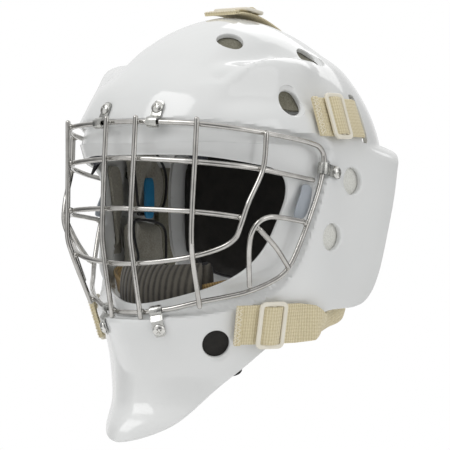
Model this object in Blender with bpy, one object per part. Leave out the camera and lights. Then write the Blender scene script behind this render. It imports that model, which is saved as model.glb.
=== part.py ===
"""Goalie mask: moulded shell, welded wire cage, liner, harness and back plate.

The mask stands upright in its own frame: +Z is up, the face looks along -Y and X = 0 is the plane
of symmetry, with +X on the wearer's left. All sizes below are in millimetres; build_object() turns
them to metres. Each sub-part is one closed object with its own material.
"""
import math

import bmesh
import bpy
import numpy as np
from mathutils import Vector

MM = 0.001
TOUCH_GAP = 0.35

# Shell
SHELL_WALL = 3.6
DOME_TOP = 158.8
DOME_BASE = 40.0
DOME_EXPONENT = 1.8
DOME_CENTRE_Y = 24.0
DOME_HALF_WIDTH = 107.0
DOME_FRONT = 133.0
DOME_REAR = 125.0
DOME_PLAN_EXPONENT = 2.55
# Plan section below the dome: height, centre y, half width, front length, rear length, exponent.
LOWER_SECTIONS = (
    (50.0, 24.0, 106.3, 132.0, 124.0, 2.6),
    (36.0, 27.0, 107.0, 131.0, 250.0, 2.5),
    (-10.0, 30.0, 107.0, 122.0, 250.0, 2.4),
    (-45.0, 30.0, 104.0, 125.0, 250.0, 2.2),
    (-84.0, 30.0, 98.0, 141.0, 250.0, 1.65),
    (-104.0, 30.0, 96.0, 132.5, 250.0, 1.6),
    (-128.0, 30.0, 96.0, 125.5, 250.0, 1.6),
    (-148.0, 30.0, 91.0, 128.5, 250.0, 1.6),
    (-165.0, 30.0, 81.0, 143.5, 250.0, 1.6),
    (-180.0, 30.0, 77.0, 150.0, 250.0, 1.6),
)
LOBE_FLARE = 5.0
# Side view of the shell's rear and lower edge: (y, z), from the crown down to the chin.
EDGE_OUTLINE = (
    (170.0, 112.0), (150.0, 92.0), (138.0, 76.0), (126.0, 60.0), (114.0, 47.0), (104.5, 38.5),
    (100.0, 30.0), (97.0, 19.0), (92.5, 0.0), (87.5, -19.0), (83.5, -38.0), (80.0, -54.0), (75.5, -66.0),
    (67.0, -74.0), (54.0, -77.3), (38.0, -77.6), (22.0, -78.6), (8.0, -83.0), (-8.0, -90.8),
    (-27.0, -102.5), (-44.0, -118.0), (-58.0, -132.0), (-74.0, -150.0), (-90.0, -162.3),
    (-104.0, -169.4), (-116.0, -173.8), (-126.0, -175.5), (-170.0, -177.0),
)
# Face opening and the recessed seat for the cage around it
OPENING_TOP = 40.0
OPENING_BOTTOM = -66.0
OPENING_SIDE_Y = -28.0
OPENING_LEAN = 0.38
SEAT_TOP = 69.0
SEAT_BOTTOM = -83.6
SEAT_WIDTH = 30.0
SEAT_DEPTH = 6.5
CHIN_SEAT_DEPTH = 12.0
SEAT_RAMP = 3.2
CORNER_BLEND = 30.0
# Crown set in behind a crease that runs along each side of the dome
CREASE_HEIGHT = 117.0
CROWN_INSET = 4.8
# Round vents on the +X side: name, x for those on the dome, then y and z (z is found on the dome)
VENT_RADIUS = 10.5
VENTS = (
    ("crown", 42.0, -30.0, None),
    ("rear", 70.0, 38.0, None),
    ("brow", None, -19.0, 83.5),
    ("ear_upper", None, 40.0, 22.0),
    ("ear_lower", None, 15.5, -21.5),
    ("jaw", None, -65.5, -102.0),
)
SLOT_LENGTH = 41.0
SLOT_WIDTH = 10.0
SLOT_Y = 63.5
UPPER_STRAP_Z = 72.0
LOWER_STRAP_Z = -86.0

# Cage
WIRE_RADIUS = 2.0
WIRE_SIDES = 6
# Uprights are laid this far in front of the cage's mean surface, the rim and crossbars behind it
LAYER = 2.2
INNER_UPRIGHT = ((14.2, -109.2, 69.5), (14.2, -111.5, 39.0), (13.8, -114.0, 1.0), (13.8, -114.8, -20.0),
                 (13.9, -112.8, -33.0), (13.9, -103.4, -81.0))
OUTER_UPRIGHT = ((63.0, -98.4, 67.5), (62.0, -99.5, 36.0), (60.9, -101.2, -1.0), (60.6, -101.6, -22.0),
                 (59.0, -98.6, -34.0), (53.2, -83.0, -72.5))
RIM_HALF = ((0.0, -109.0, 66.8), (14.0, -108.7, 66.5), (38.0, -105.3, 65.8), (63.0, -98.2, 64.3),
            (82.0, -82.0, 61.5), (92.5, -66.0, 59.0), (101.2, -38.0, 55.0), (106.6, -10.5, 50.5),
            (108.3, -2.0, 47.5), (108.9, 2.8, 41.0), (108.2, 0.2, 23.0), (106.8, -16.3, -11.0),
            (101.4, -30.3, -41.0), (98.0, -35.5, -48.5), (92.0, -43.0, -54.5), (80.0, -58.0, -62.0),
            (67.0, -71.5, -66.0), (53.6, -83.9, -69.3), (34.0, -96.0, -74.6), (14.0, -103.4, -77.5),
            (0.0, -104.6, -78.0))
UPPER_BAR = ((0.0, -112.6, 39.3), (14.0, -111.7, 38.8), (38.0, -108.0, 37.6), (62.0, -99.1, 36.0),
             (81.0, -83.0, 33.8), (93.5, -66.0, 31.5), (101.5, -38.0, 27.0), (105.5, -7.0, 22.5))
MIDDLE_BAR = ((0.0, -115.0, 1.3), (13.5, -114.0, 1.0), (38.0, -109.5, 0.3), (60.6, -100.7, -0.9),
              (76.0, -89.0, -2.8), (86.5, -76.6, -5.0))
CAT_EYE = ((93.8, -70.5, 56.0), (95.0, -70.5, 31.5), (92.0, -75.5, 5.0), (89.0, -78.0, -10.0),
           (84.5, -78.5, -20.0), (77.0, -82.0, -26.5), (59.0, -95.3, -34.0), (38.0, -105.0, -38.0),
           (14.0, -109.3, -40.2), (0.0, -110.4, -40.8))
SIDE_WIRE = ((105.0, -21.5, -9.0), (103.5, -45.0, -6.0), (100.5, -59.0, -5.2), (97.0, -66.5, -8.5),
             (93.0, -70.0, -16.0), (89.5, -69.0, -28.0), (83.5, -60.8, -57.0))
BRACE = ((96.0, -64.5, -14.5), (100.0, -50.0, -28.0), (100.5, -35.5, -42.5))

# Clips that hook the rim, with their screws and the barrel nuts inside the shell
CLIP_THICKNESS = 1.3
CLIP_WIDTH = 9.0
CLIP_TAIL = 5.6
HOOK_GAP = 1.1
HOOK_START = 118.0
HOOK_SWEEP = 192.0
SEAT_GAP = 0.6
SCREW_HEAD_RADIUS = 4.9
SCREW_HEAD_HEIGHT = 2.4
SCREW_SHANK_RADIUS = 2.0
SCREW_LENGTH = 9.0
NUT_RADIUS = 5.2
NUT_BARREL_RADIUS = 3.4
NUT_FLANGE = 1.3
NUT_LENGTH = 2.8
NUT_GAP = 0.6
NUT_CLEARANCE = 4.3

# Blank plate inside each side of the rim: its faces' x and its outline in (y, z)
PLATE_FACES = (100.2, 101.3)
PLATE_OUTLINE = ((-27.5, -5.5), (-14.0, -5.5), (-4.8, 14.5), (-7.0, 18.0), (-13.0, 19.5),
                 (-17.5, 18.0), (-18.3, 14.5))

# Liner pads: middle angles or y range, height range and thickness
FOREHEAD_REACH = 40.0
FOREHEAD_HEIGHTS = (47.0, 100.0)
CROWN_START = 130.0
CROWN_HEIGHTS = (98.0, 124.0)
TEMPLE_RANGE = (-2.0, 50.0)
TEMPLE_HEIGHTS = (-6.0, 58.0)
CHEEK_RANGE = (-12.0, 44.0)
CHEEK_HEIGHTS = (-68.0, -11.0)

# Harness
STRAP_WIDTH = 34.0
STRAP_THICKNESS = 1.8
STRAP_LIFT = 2.2
LOWER_STRAP_EXTRA = 1.4
# The lower strap folds and runs in under the shell's bottom edge: point, outward way, half width
LOWER_TUCK = (
    ((101.5, 14.0, -91.0), (1.0, 0.0, 0.0), 14.0),
    ((101.5, 26.0, -92.5), (1.0, 0.0, -0.15), 9.0),
    ((97.5, 39.0, -95.0), (0.85, 0.2, -0.5), 8.0),
    ((89.0, 51.0, -91.0), (0.9, 0.4, -0.3), 9.0),
    ((82.5, 64.0, -78.0), (0.9, 0.5, 0.0), 11.0),
)
# Where each strap lands on the back plate: turn from the middle of the back in degrees, and height
UPPER_LANDING = ((58.0, 56.0), (49.0, 50.0), (41.0, 47.0))
LOWER_LANDING = ((52.0, -52.0), (43.0, -46.0))
TOP_LANDING = ((0.0, 60.0), (0.0, 46.0))
SLIDE_WIDTH = 42.0
SLIDE_LENGTH = 28.0
SLIDE_THICKNESS = 2.6
SLIDE_BAR = 4.0
SLIDE_LIFT = 0.8
UPPER_SLIDE_Y = 24.0
LOWER_SLIDE_Y = -28.0
TOP_SLIDE_Y = 34.0
RIVET_RADIUS = 5.5

# Back plate: an upright curved shield behind the head
BACK_CENTRE_Y = 30.0
BACK_HALF_WIDTH = 88.0
BACK_LENGTH = 112.0
BACK_TOP = 68.0
BACK_BOTTOM = -70.0
BACK_SPREAD = 68.0
BACK_WALL = 3.0
BACK_FOAM = 11.0
BACK_FOAM_GAP = 1.6
BACK_HINGE = (0.0, 142.0, 80.0)

# Chin cup
CUP_CENTRE = (0.0, -56.0, -60.0)
CUP_HALF_WIDTH = 44.0
CUP_REACH = 26.0
CUP_HEIGHT = 24.0
CUP_WALL = 6.0
CUP_TURN = 78.0
CUP_LEAN = 62.0
CUP_PIVOT = (72.0, -30.0, -52.0)
# Sling strap from behind the snap, round the cup, to the middle: half of its run
SLING = ((70.5, -24.0, -49.5), (70.5, -30.0, -52.0), (68.9, -37.0, -55.0), (61.5, -45.5, -58.5),
         (50.0, -54.5, -61.5), (38.5, -63.5, -64.5), (22.0, -73.0, -68.0), (0.0, -76.5, -69.5))
SLING_HALF_WIDTH = 7.0
SLING_THICKNESS = 1.6

COLOURS = {
    "gel_coat": ((0.86, 0.87, 0.88), 0.18, 0.0),
    "steel": ((0.80, 0.80, 0.80), 0.16, 1.0),
    "zinc": ((0.70, 0.70, 0.69), 0.30, 1.0),
    "plate": ((0.55, 0.57, 0.60), 0.45, 0.0),
    "webbing": ((0.83, 0.78, 0.64), 0.85, 0.0),
    "nylon": ((0.88, 0.86, 0.80), 0.40, 0.0),
    "grey_foam": ((0.45, 0.44, 0.40), 0.80, 0.0),
    "black_foam": ((0.04, 0.04, 0.05), 0.75, 0.0),
    "polymer": ((0.80, 0.81, 0.82), 0.35, 0.0),
    "sling": ((0.12, 0.12, 0.13), 0.80, 0.0),
}


# ---------------------------------------------------------------- small helpers
def clear_scene():
    for old in list(bpy.data.objects):
        bpy.data.objects.remove(old, do_unlink=True)


def make_material(key):
    colour, roughness, metallic = COLOURS[key]
    material = bpy.data.materials.get(key) or bpy.data.materials.new(key)
    material.use_nodes = True
    shader = material.node_tree.nodes["Principled BSDF"]
    shader.inputs["Base Color"].default_value = (*colour, 1.0)
    shader.inputs["Roughness"].default_value = roughness
    shader.inputs["Metallic"].default_value = metallic
    return material


def build_object(name, verts, faces, colour, origin=(0.0, 0.0, 0.0), smooth=True):
    """Closed mesh from points in millimetres; its object origin is moved to `origin`."""
    mesh = bpy.data.meshes.new(name)
    start = np.asarray(origin, float)
    points = (np.asarray(verts, float) - start) * MM
    mesh.from_pydata(points.tolist(), [], [tuple(face) for face in faces])
    bm = bmesh.new()
    bm.from_mesh(mesh)
    bmesh.ops.remove_doubles(bm, verts=bm.verts, dist=0.00002)
    bmesh.ops.recalc_face_normals(bm, faces=bm.faces)
    if bm.calc_volume(signed=True) < 0:
        bmesh.ops.reverse_faces(bm, faces=bm.faces)
    bm.to_mesh(mesh)
    bm.free()
    mesh.materials.append(make_material(colour))
    if smooth:
        mesh.shade_smooth()
        mesh.set_sharp_from_angle(angle=math.radians(38.0))
    obj = bpy.data.objects.new(name, mesh)
    obj.location = Vector(start * MM)
    bpy.context.collection.objects.link(obj)
    return obj


def unit(vector):
    vector = np.asarray(vector, float)
    return vector / np.linalg.norm(vector)


def smoothstep(value):
    value = np.clip(value, 0.0, 1.0)
    return value * value * (3.0 - 2.0 * value)


def smooth_max(first, second, blend):
    overlap = np.clip(blend - np.abs(first - second), 0.0, None)
    return np.maximum(first, second) + overlap * overlap / (4.0 * blend)


def between(low, high, start, end, t):
    return (low * (end - t) + high * (t - start)) / (end - start)


def spline(points, steps, closed=False):
    """Centripetal Catmull-Rom curve through the points, with `steps` samples for each span."""
    knots = np.asarray(points, float)
    if closed:
        knots = np.vstack([knots[-1:], knots, knots[:2]])
    else:
        knots = np.vstack([2 * knots[0] - knots[1], knots, 2 * knots[-1] - knots[-2]])
    samples = []
    for i in range(1, len(knots) - 2):
        quad = knots[i - 1:i + 3]
        times = np.concatenate([[0.0], np.cumsum(np.linalg.norm(np.diff(quad, axis=0), axis=1) ** 0.5)])
        for t in np.linspace(times[1], times[2], steps, endpoint=False):
            first = [between(quad[k], quad[k + 1], times[k], times[k + 1], t) for k in range(3)]
            second = [between(first[k], first[k + 1], times[k], times[k + 2], t) for k in range(2)]
            samples.append(between(second[0], second[1], times[1], times[2], t))
    if not closed:
        samples.append(knots[-2])
    return np.array(samples)


def mirrored(point):
    return (-point[0], point[1], point[2])


def whole_span(half):
    """Points from the far side to the near side, given the half from x = 0 outwards."""
    return [mirrored(p) for p in reversed(half[1:])] + list(half)


# ---------------------------------------------------------------- shell surface
def table_rows(z):
    """The plan section at height z, by a smooth cubic through LOWER_SECTIONS."""
    table = np.array(LOWER_SECTIONS)[::-1]
    heights = table[:, 0]
    slopes = np.gradient(table, heights, axis=0)
    z = np.clip(z, heights[0], heights[-1])
    k = np.clip(np.searchsorted(heights, z) - 1, 0, len(heights) - 2)
    span = heights[k + 1] - heights[k]
    t = ((z - heights[k]) / span)[..., None]
    low, high = table[k], table[k + 1]
    low_slope, high_slope = slopes[k] * span[..., None], slopes[k + 1] * span[..., None]
    return ((2 * t ** 3 - 3 * t ** 2 + 1) * low + (t ** 3 - 2 * t ** 2 + t) * low_slope
            + (3 * t ** 2 - 2 * t ** 3) * high + (t ** 3 - t ** 2) * high_slope)


def section(z):
    """Centre y, half width, front length, rear length and exponent of the plan section."""
    z = np.asarray(z, float)
    rows = table_rows(z)
    rise = np.clip((z - DOME_BASE) / (DOME_TOP - DOME_BASE), 0.0, 1.0)
    scale = (1.0 - rise ** DOME_EXPONENT) ** (1.0 / DOME_EXPONENT)
    dome = np.stack([np.full_like(z, DOME_CENTRE_Y), DOME_HALF_WIDTH * scale, DOME_FRONT * scale,
                     DOME_REAR * scale, np.full_like(z, DOME_PLAN_EXPONENT) - 0.3 * rise], axis=-1)
    above = (z >= LOWER_SECTIONS[0][0])[..., None]
    return np.where(above, dome, rows[..., 1:])


def base_point(theta, z):
    """Point of the plain skin: theta is 0 at the front and 180 degrees at the back."""
    theta, z = np.broadcast_arrays(np.asarray(theta, float), np.asarray(z, float))
    rows = section(z)
    centre, half, front, rear, power = (rows[..., k] for k in range(5))
    sine, cosine = np.sin(theta), np.cos(theta)
    x = half * np.sign(sine) * np.abs(sine) ** (2.0 / power)
    reach = np.where(cosine > 0, front, rear)
    y = centre - reach * np.sign(cosine) * np.abs(cosine) ** (2.0 / power)
    flare = LOBE_FLARE * smoothstep((y - 20.0) / 80.0) * smoothstep((52.0 - z) / 16.0)
    x = x + flare * np.sign(sine) * np.abs(sine)
    return np.stack([x, y, z], axis=-1)


def base_normal(theta, z):
    """Outward normal of the plain skin by central differences."""
    step_t, step_z = 0.004, 0.25
    theta, height = np.broadcast_arrays(np.asarray(theta, float), np.asarray(z, float))
    z = np.clip(height, None, DOME_TOP - 0.6)
    along = base_point(theta + step_t, z) - base_point(theta - step_t, z)
    up = base_point(theta, z + step_z) - base_point(theta, z - step_z)
    normal = np.cross(along, up)
    normal = normal / np.linalg.norm(normal, axis=-1, keepdims=True)
    at_pole = (height > DOME_TOP - 0.1)[..., None]
    return np.where(at_pole, np.array([0.0, 0.0, 1.0]), normal)


def opening_value(x, y, z, top, bottom, side_y):
    """Below zero inside the rounded face-opening outline."""
    crown = z - (top - 6.0 * (np.abs(x) / 90.0) ** 4)
    floor = (bottom + 14.0 * (np.abs(x) / 85.0) ** 2.5) - z
    side = y - (side_y + OPENING_LEAN * (z - 10.0))
    return smooth_max(smooth_max(crown, floor, CORNER_BLEND), side, CORNER_BLEND)


def surface_lift(points):
    """How far the finished outer face stands off the plain skin: panel up, cage seat down."""
    x, y, z = points[..., 0], points[..., 1], points[..., 2]
    seat = opening_value(x, y, z, SEAT_TOP, SEAT_BOTTOM, OPENING_SIDE_Y + SEAT_WIDTH)
    depth = SEAT_DEPTH + (CHIN_SEAT_DEPTH - SEAT_DEPTH) * smoothstep((-45.0 - z) / 25.0)
    down = -depth * (1.0 - smoothstep((seat + SEAT_RAMP) / SEAT_RAMP))
    crease = CREASE_HEIGHT - 20.0 * np.clip((-8.0 - y) / 58.0, 0.0, 1.0) ** 1.5
    ramp = 6.0 + 30.0 * smoothstep((60.0 - np.abs(x)) / 25.0) + 22.0 * smoothstep((y - 25.0) / 45.0)
    above = smoothstep((z - crease) / ramp + 0.3)
    return down - CROWN_INSET * above


def skin(theta, z, inset=0.0):
    """Point at `inset` millimetres behind the finished outer face."""
    point = base_point(theta, z)
    lift = surface_lift(point) - inset
    return point + base_normal(theta, z) * lift[..., None]


def edge_line():
    return spline([(y, z, 0.0) for y, z in EDGE_OUTLINE], 3)[:, :2]


def edge_value(points, line):
    """Above zero on the kept side of the rear and lower edge, in millimetres."""
    spot = points[..., 1:3]
    start, end = line[:-1], line[1:]
    run = end - start
    offset = spot[..., None, :] - start
    along = np.clip((offset * run).sum(-1) / (run * run).sum(-1), 0.0, 1.0)
    gap = offset - along[..., None] * run
    distance = np.sqrt((gap * gap).sum(-1))
    nearest = distance.argmin(-1)
    chosen = np.take_along_axis(offset, nearest[..., None, None], -2)[..., 0, :]
    direction = run[nearest]
    cross = direction[..., 0] * chosen[..., 1] - direction[..., 1] * chosen[..., 0]
    return -np.sign(cross) * np.take_along_axis(distance, nearest[..., None], -1)[..., 0]


def keep_value(theta, z, line):
    point = base_point(theta, z)
    opening = opening_value(point[..., 0], point[..., 1], point[..., 2],
                            OPENING_TOP, OPENING_BOTTOM, OPENING_SIDE_Y)
    return np.minimum(edge_value(point, line), opening)


def shell_heights():
    """Rows of the shell from the crown down, closer where the cage seat steps in."""
    dome = DOME_BASE + (DOME_TOP - DOME_BASE) * np.sin(np.radians([90, 76, 65, 55.5, 48, 42, 34.5, 27.5]))
    brow = [81.0, 74.0, 69.2, 65.6, 58.0, 50.0, 42.0, 34.0]
    side = np.linspace(24.0, -60.0, 9)
    chin = [-68.0, -75.0, -80.3, -83.7, -92.0, -101.0, -111.0, -121.0, -131.0, -140.0, -149.0,
            -157.0, -165.0, -172.0, -178.0]
    return np.concatenate([dome, brow, side, chin])


def shell_angles():
    """Columns of the shell, closer along the sides where the cage seat ends."""
    half = np.concatenate([np.linspace(0.0, 63.0, 10), np.linspace(67.5, 108.0, 10),
                           np.linspace(117.0, 180.0, 8)])
    return np.radians(np.concatenate([-half[:0:-1], half]))


def shell_mesh(angles, heights):
    """Grid on the skin, its nodes slid onto the trim lines and the rest of each cell clipped."""
    line = edge_line()
    theta, z = np.meshgrid(angles, heights, indexing="ij")
    value = keep_value(theta, z, line)

    def crossing(a, b):
        low, high = np.array(a, float), np.array(b, float)
        if keep_value(low[0], low[1], line) < 0:
            low, high = high, low
        for _ in range(14):
            middle = (low + high) / 2
            if keep_value(middle[0], middle[1], line) >= 0:
                low = middle
            else:
                high = middle
        return low

    rows, cols = theta.shape
    for _ in range(2):
        snapped = {}
        for i in range(rows):
            for j in range(cols):
                for di, dj in ((1, 0), (0, 1)):
                    m, n = i + di, j + dj
                    if m >= rows or n >= cols or value[i, j] * value[m, n] >= 0:
                        continue
                    spot = crossing((theta[i, j], z[i, j]), (theta[m, n], z[m, n]))
                    here = np.array([theta[i, j], z[i, j]])
                    there = np.array([theta[m, n], z[m, n]])
                    share = np.linalg.norm(spot - here) / np.linalg.norm(there - here)
                    target = (i, j) if share < 0.4 else (m, n) if share > 0.6 else None
                    if target is not None and target[0] not in (0, rows - 1):
                        distance = min(share, 1 - share)
                        if target not in snapped or distance < snapped[target][0]:
                            snapped[target] = (distance, spot)
        for (i, j), (_, spot) in snapped.items():
            theta[i, j], z[i, j] = spot
            value[i, j] = 0.0

    verts, index = [], {}

    def vertex(key, position):
        if key not in index:
            index[key] = len(verts)
            verts.append(position)
        return index[key]

    def node(i, j):
        column = i % (rows - 1) if j else 0
        return vertex(("n", column, j), (theta[i, j], z[i, j]))

    faces = []
    for i in range(rows - 1):
        for j in range(cols - 1):
            corners = [(i, j), (i, j + 1), (i + 1, j + 1), (i + 1, j)]
            marks = [value[c] for c in corners]
            if max(marks) <= 0:
                continue
            face = []
            for k, corner in enumerate(corners):
                after = corners[(k + 1) % 4]
                if value[corner] >= 0:
                    face.append(node(*corner))
                if value[corner] * value[after] < 0:
                    pair = tuple(sorted(((corner[0] % (rows - 1), corner[1]),
                                         (after[0] % (rows - 1), after[1]))))
                    spot = crossing((theta[corner], z[corner]), (theta[after], z[after]))
                    face.append(vertex(("e", pair), tuple(spot)))
            face = [v for k, v in enumerate(face) if v != face[k - 1]]
            if len(face) >= 3:
                faces.append(face)
    return np.array(verts), faces


def thicken(parameters, faces, wall):
    """Outer and inner faces joined round every open edge."""
    outer = skin(parameters[:, 0], parameters[:, 1])
    inner = skin(parameters[:, 0], parameters[:, 1], wall)
    return join_layers(outer, inner, faces)


def join_layers(outer, inner, faces):
    count = len(outer)
    used = {}
    for face in faces:
        for k, a in enumerate(face):
            used[(a, face[(k + 1) % len(face)])] = True
    solid = [list(face) for face in faces]
    solid += [[v + count for v in reversed(face)] for face in faces]
    for a, b in used:
        if (b, a) not in used:
            solid.append([b, a, a + count, b + count])
    return np.vstack([outer, inner]), solid


def skin_at(y, z, side=1.0):
    """Angle of the skin point at the given y and z on one side, by bisection."""
    low, high = 0.001, math.pi - 0.001
    for _ in range(40):
        middle = (low + high) / 2
        if base_point(middle, z)[1] < y:
            low = middle
        else:
            high = middle
    return side * low


def dome_at(x, y):
    """Angle and height of the dome point over (x, y), by bisection down the dome."""
    low, high = LOWER_SECTIONS[0][0], DOME_TOP - 0.01
    for _ in range(40):
        z = (low + high) / 2
        centre, half, front, rear, power = section(z)
        reach = front if y < centre else rear
        inside = (abs(x) / half) ** power + (abs(y - centre) / reach) ** power < 1.0
        low, high = (z, high) if inside else (low, z)
    z = low
    centre, half, front, rear, power = section(z)
    reach = front if y < centre else rear
    across = math.copysign((abs(x) / half) ** (power / 2), x)
    ahead = math.copysign((abs(y - centre) / reach) ** (power / 2), centre - y)
    return math.atan2(across, ahead), z


def frame_at(theta, z, inset=0.0):
    point = skin(theta, z, inset)
    normal = base_normal(theta, z)
    return point, normal


# ---------------------------------------------------------------- solids
def sweep(path, profile, ups, closed=False):
    """Carry a closed profile, given as (across, out) pairs for each path point, along the path."""
    count, ring = len(path), len(profile[0])
    verts = []
    for i in range(count):
        ahead = path[(i + 1) % count] if closed or i < count - 1 else path[i]
        behind = path[i - 1] if closed or i > 0 else path[i]
        tangent = unit(ahead - behind)
        out = unit(ups[i] - tangent * np.dot(ups[i], tangent))
        across = np.cross(tangent, out)
        verts += [path[i] + across * a + out * b for a, b in profile[i]]
    faces = []
    for i in range(count if closed else count - 1):
        for k in range(ring):
            a, b = i * ring + k, i * ring + (k + 1) % ring
            c, d = ((i + 1) % count) * ring + (k + 1) % ring, ((i + 1) % count) * ring + k
            faces.append([a, b, c, d])
    if not closed:
        faces.append(list(range(ring))[::-1])
        faces.append([(count - 1) * ring + k for k in range(ring)])
    return np.array(verts), faces


def circle_profile(radius, sides):
    turn = [2 * math.pi * (k + 0.5) / sides for k in range(sides)]
    return [(radius * math.cos(a), radius * math.sin(a)) for a in turn]


def transported(path, closed=False):
    """Side directions that turn as little as possible along the path."""
    tangents = [unit(path[(i + 1) % len(path)] - path[i - 1]) if closed or 0 < i < len(path) - 1
                else unit(path[min(i + 1, len(path) - 1)] - path[max(i - 1, 0)])
                for i in range(len(path))]
    seed = np.array([0.13, 0.31, 0.94])
    ups = [unit(seed - tangents[0] * np.dot(seed, tangents[0]))]
    for tangent in tangents[1:]:
        ups.append(unit(ups[-1] - tangent * np.dot(ups[-1], tangent)))
    return ups


def wire(name, path, closed=False, radius=WIRE_RADIUS):
    profile = [circle_profile(radius, WIRE_SIDES)] * len(path)
    verts, faces = sweep(path, profile, transported(path, closed), closed)
    return build_object(name, verts, faces, "steel")


def turned(profile, spot, axis, sides):
    """Open skin of revolution: profile is (radius, distance along axis) from end to end."""
    axis = unit(axis)
    guess = np.array([0.0, 0.0, 1.0]) if abs(axis[2]) < 0.9 else np.array([1.0, 0.0, 0.0])
    side = unit(np.cross(axis, guess))
    other = np.cross(axis, side)
    verts, faces = [], []
    for radius, along in profile:
        for k in range(sides):
            a = 2 * math.pi * k / sides
            verts.append(spot + axis * along + (side * math.cos(a) + other * math.sin(a)) * radius)
    for i in range(len(profile) - 1):
        for k in range(sides):
            n = (k + 1) % sides
            faces.append([i * sides + k, i * sides + n, (i + 1) * sides + n, (i + 1) * sides + k])
    return verts, faces


def turned_solid(profile, spot, axis, sides):
    """Solid of revolution closed by a flat cap at each end."""
    verts, faces = turned(profile, spot, axis, sides)
    faces.append(list(range(sides))[::-1])
    faces.append([(len(profile) - 1) * sides + k for k in range(sides)])
    return verts, faces


def turned_ring(profile, spot, axis, sides):
    """Solid of revolution whose last circle joins back to its first, leaving a bore."""
    verts, faces = turned(profile, spot, axis, sides)
    last = (len(profile) - 1) * sides
    for k in range(sides):
        n = (k + 1) % sides
        faces.append([last + k, last + n, n, k])
    return verts, faces


def cutter(name, verts, faces):
    obj = build_object(name, verts, faces, "zinc", smooth=False)
    obj.hide_render = True
    obj.display_type = "WIRE"
    return obj


def cut(obj, tool):
    modifier = obj.modifiers.new(tool.name, "BOOLEAN")
    modifier.operation = "DIFFERENCE"
    modifier.object = tool
    modifier.solver = "EXACT"


def drill(obj, name, spot, axis, radius, reach, sides=8):
    """Round hole through obj, reaching the same way out and in from the spot."""
    cut(obj, cutter(name, *turned_solid([(radius, -reach), (radius, reach)], spot, axis, sides)))


def box_verts(centre, axes, halves):
    verts = []
    for a in (-1, 1):
        for b in (-1, 1):
            for c in (-1, 1):
                verts.append(centre + axes[0] * a * halves[0] + axes[1] * b * halves[1]
                             + axes[2] * c * halves[2])
    faces = [[0, 1, 3, 2], [4, 6, 7, 5], [0, 4, 5, 1], [2, 3, 7, 6], [0, 2, 6, 4], [1, 5, 7, 3]]
    return np.array(verts), faces


def squircle_grid(columns, rows, power=5.0):
    """Unit patch (u, v) with rounded corners, as rows of grid nodes."""
    v = np.sin(np.linspace(-1, 1, rows) * math.pi / 2 * 0.97)
    u = np.linspace(-1, 1, columns)
    width = (1 - np.abs(v) ** power) ** (1 / power)
    return u[None, :] * width[:, None], np.repeat(v[:, None], columns, axis=1)


def grid_faces(rows, columns):
    return [[i * columns + j, i * columns + j + 1, (i + 1) * columns + j + 1, (i + 1) * columns + j]
            for i in range(rows - 1) for j in range(columns - 1)]


def pad(name, theta_range, z_range, front, thickness, colour, cells=(7, 6)):
    """Cushion lining the shell: front(x, y, z) is how deep its outer face lies under the skin."""
    columns, rows = cells
    u, v = squircle_grid(columns, rows)
    theta = (theta_range[0] + theta_range[1]) / 2 + u * (theta_range[1] - theta_range[0]) / 2
    z = (z_range[0] + z_range[1]) / 2 + v * (z_range[1] - z_range[0]) / 2
    point, normal = base_point(theta, z), base_normal(theta, z)
    depth = front(point)
    outer = (point - normal * depth[..., None]).reshape(-1, 3)
    inner = (point - normal * (depth + thickness)[..., None]).reshape(-1, 3)
    verts, faces = join_layers(outer, inner, grid_faces(rows, columns))
    return build_object(name, verts, faces, colour)


# ---------------------------------------------------------------- shell and its openings
def vent_spot(vent, side):
    _, x, y, z = vent
    if x is None:
        theta = skin_at(y, z)
    else:
        theta, z = dome_at(x, y)
    return frame_at(theta * side, z)


def build_shell():
    parameters, faces = shell_mesh(shell_angles(), shell_heights())
    verts, solid = thicken(parameters, faces, SHELL_WALL)
    shell = build_object("shell", verts, solid, "gel_coat")
    for side, word in ((1.0, "left"), (-1.0, "right")):
        for vent in VENTS:
            spot, normal = vent_spot(vent, side)
            drill(shell, "cut_vent_%s_%s" % (vent[0], word), spot, normal, VENT_RADIUS, 13.0, 14)
        spot, normal = frame_at(skin_at(SLOT_Y, UPPER_STRAP_Z) * side, UPPER_STRAP_Z)
        along = unit(np.cross((0.0, 0.0, 1.0), normal))
        tall = np.cross(normal, along)
        box = box_verts(spot, (along, tall, normal), (SLOT_WIDTH / 2, SLOT_LENGTH / 2, 12.0))
        cut(shell, cutter("cut_slot_" + word, *box))
    return shell


# ---------------------------------------------------------------- cage
def outward(point):
    return unit((point[0] / 104.0 ** 2, (point[1] - 5.0) / 121.0 ** 2, 0.0))


def layered(points, side):
    """Shift a wire half a crossing in front of (+1) or behind (-1) the others."""
    return [np.array(p) + outward(p) * LAYER * side for p in points]


def build_cage():
    loop = layered(RIM_HALF, -1.0)
    far = [np.array(mirrored(p)) for p in reversed(loop[1:-1])]
    wire("cage_rim", spline(loop + far, 2, closed=True), closed=True)
    wire("cage_upper_crossbar", spline(whole_span(layered(UPPER_BAR, -1.0)), 2))
    wire("cage_middle_crossbar", spline(whole_span(layered(MIDDLE_BAR, -1.0)), 2))
    wire("cage_cat_eye_wire", spline(whole_span(list(reversed(CAT_EYE))), 2))
    for side, word in ((1.0, "left"), (-1.0, "right")):
        for name, points, lift in (
            ("cage_inner_upright", layered(INNER_UPRIGHT, 1.0), 3),
            ("cage_outer_upright", layered(OUTER_UPRIGHT, 1.0), 3),
            ("cage_side_wire", list(SIDE_WIRE), 2),
            ("cage_side_brace", list(BRACE), 3),
        ):
            points = [np.array([p[0] * side, p[1], p[2]]) for p in points]
            wire("%s_%s" % (name, word), spline(points, lift))


# ---------------------------------------------------------------- clips, screws and nuts
def rim_path():
    loop = layered(RIM_HALF, -1.0)
    return spline(loop, 12)


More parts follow.
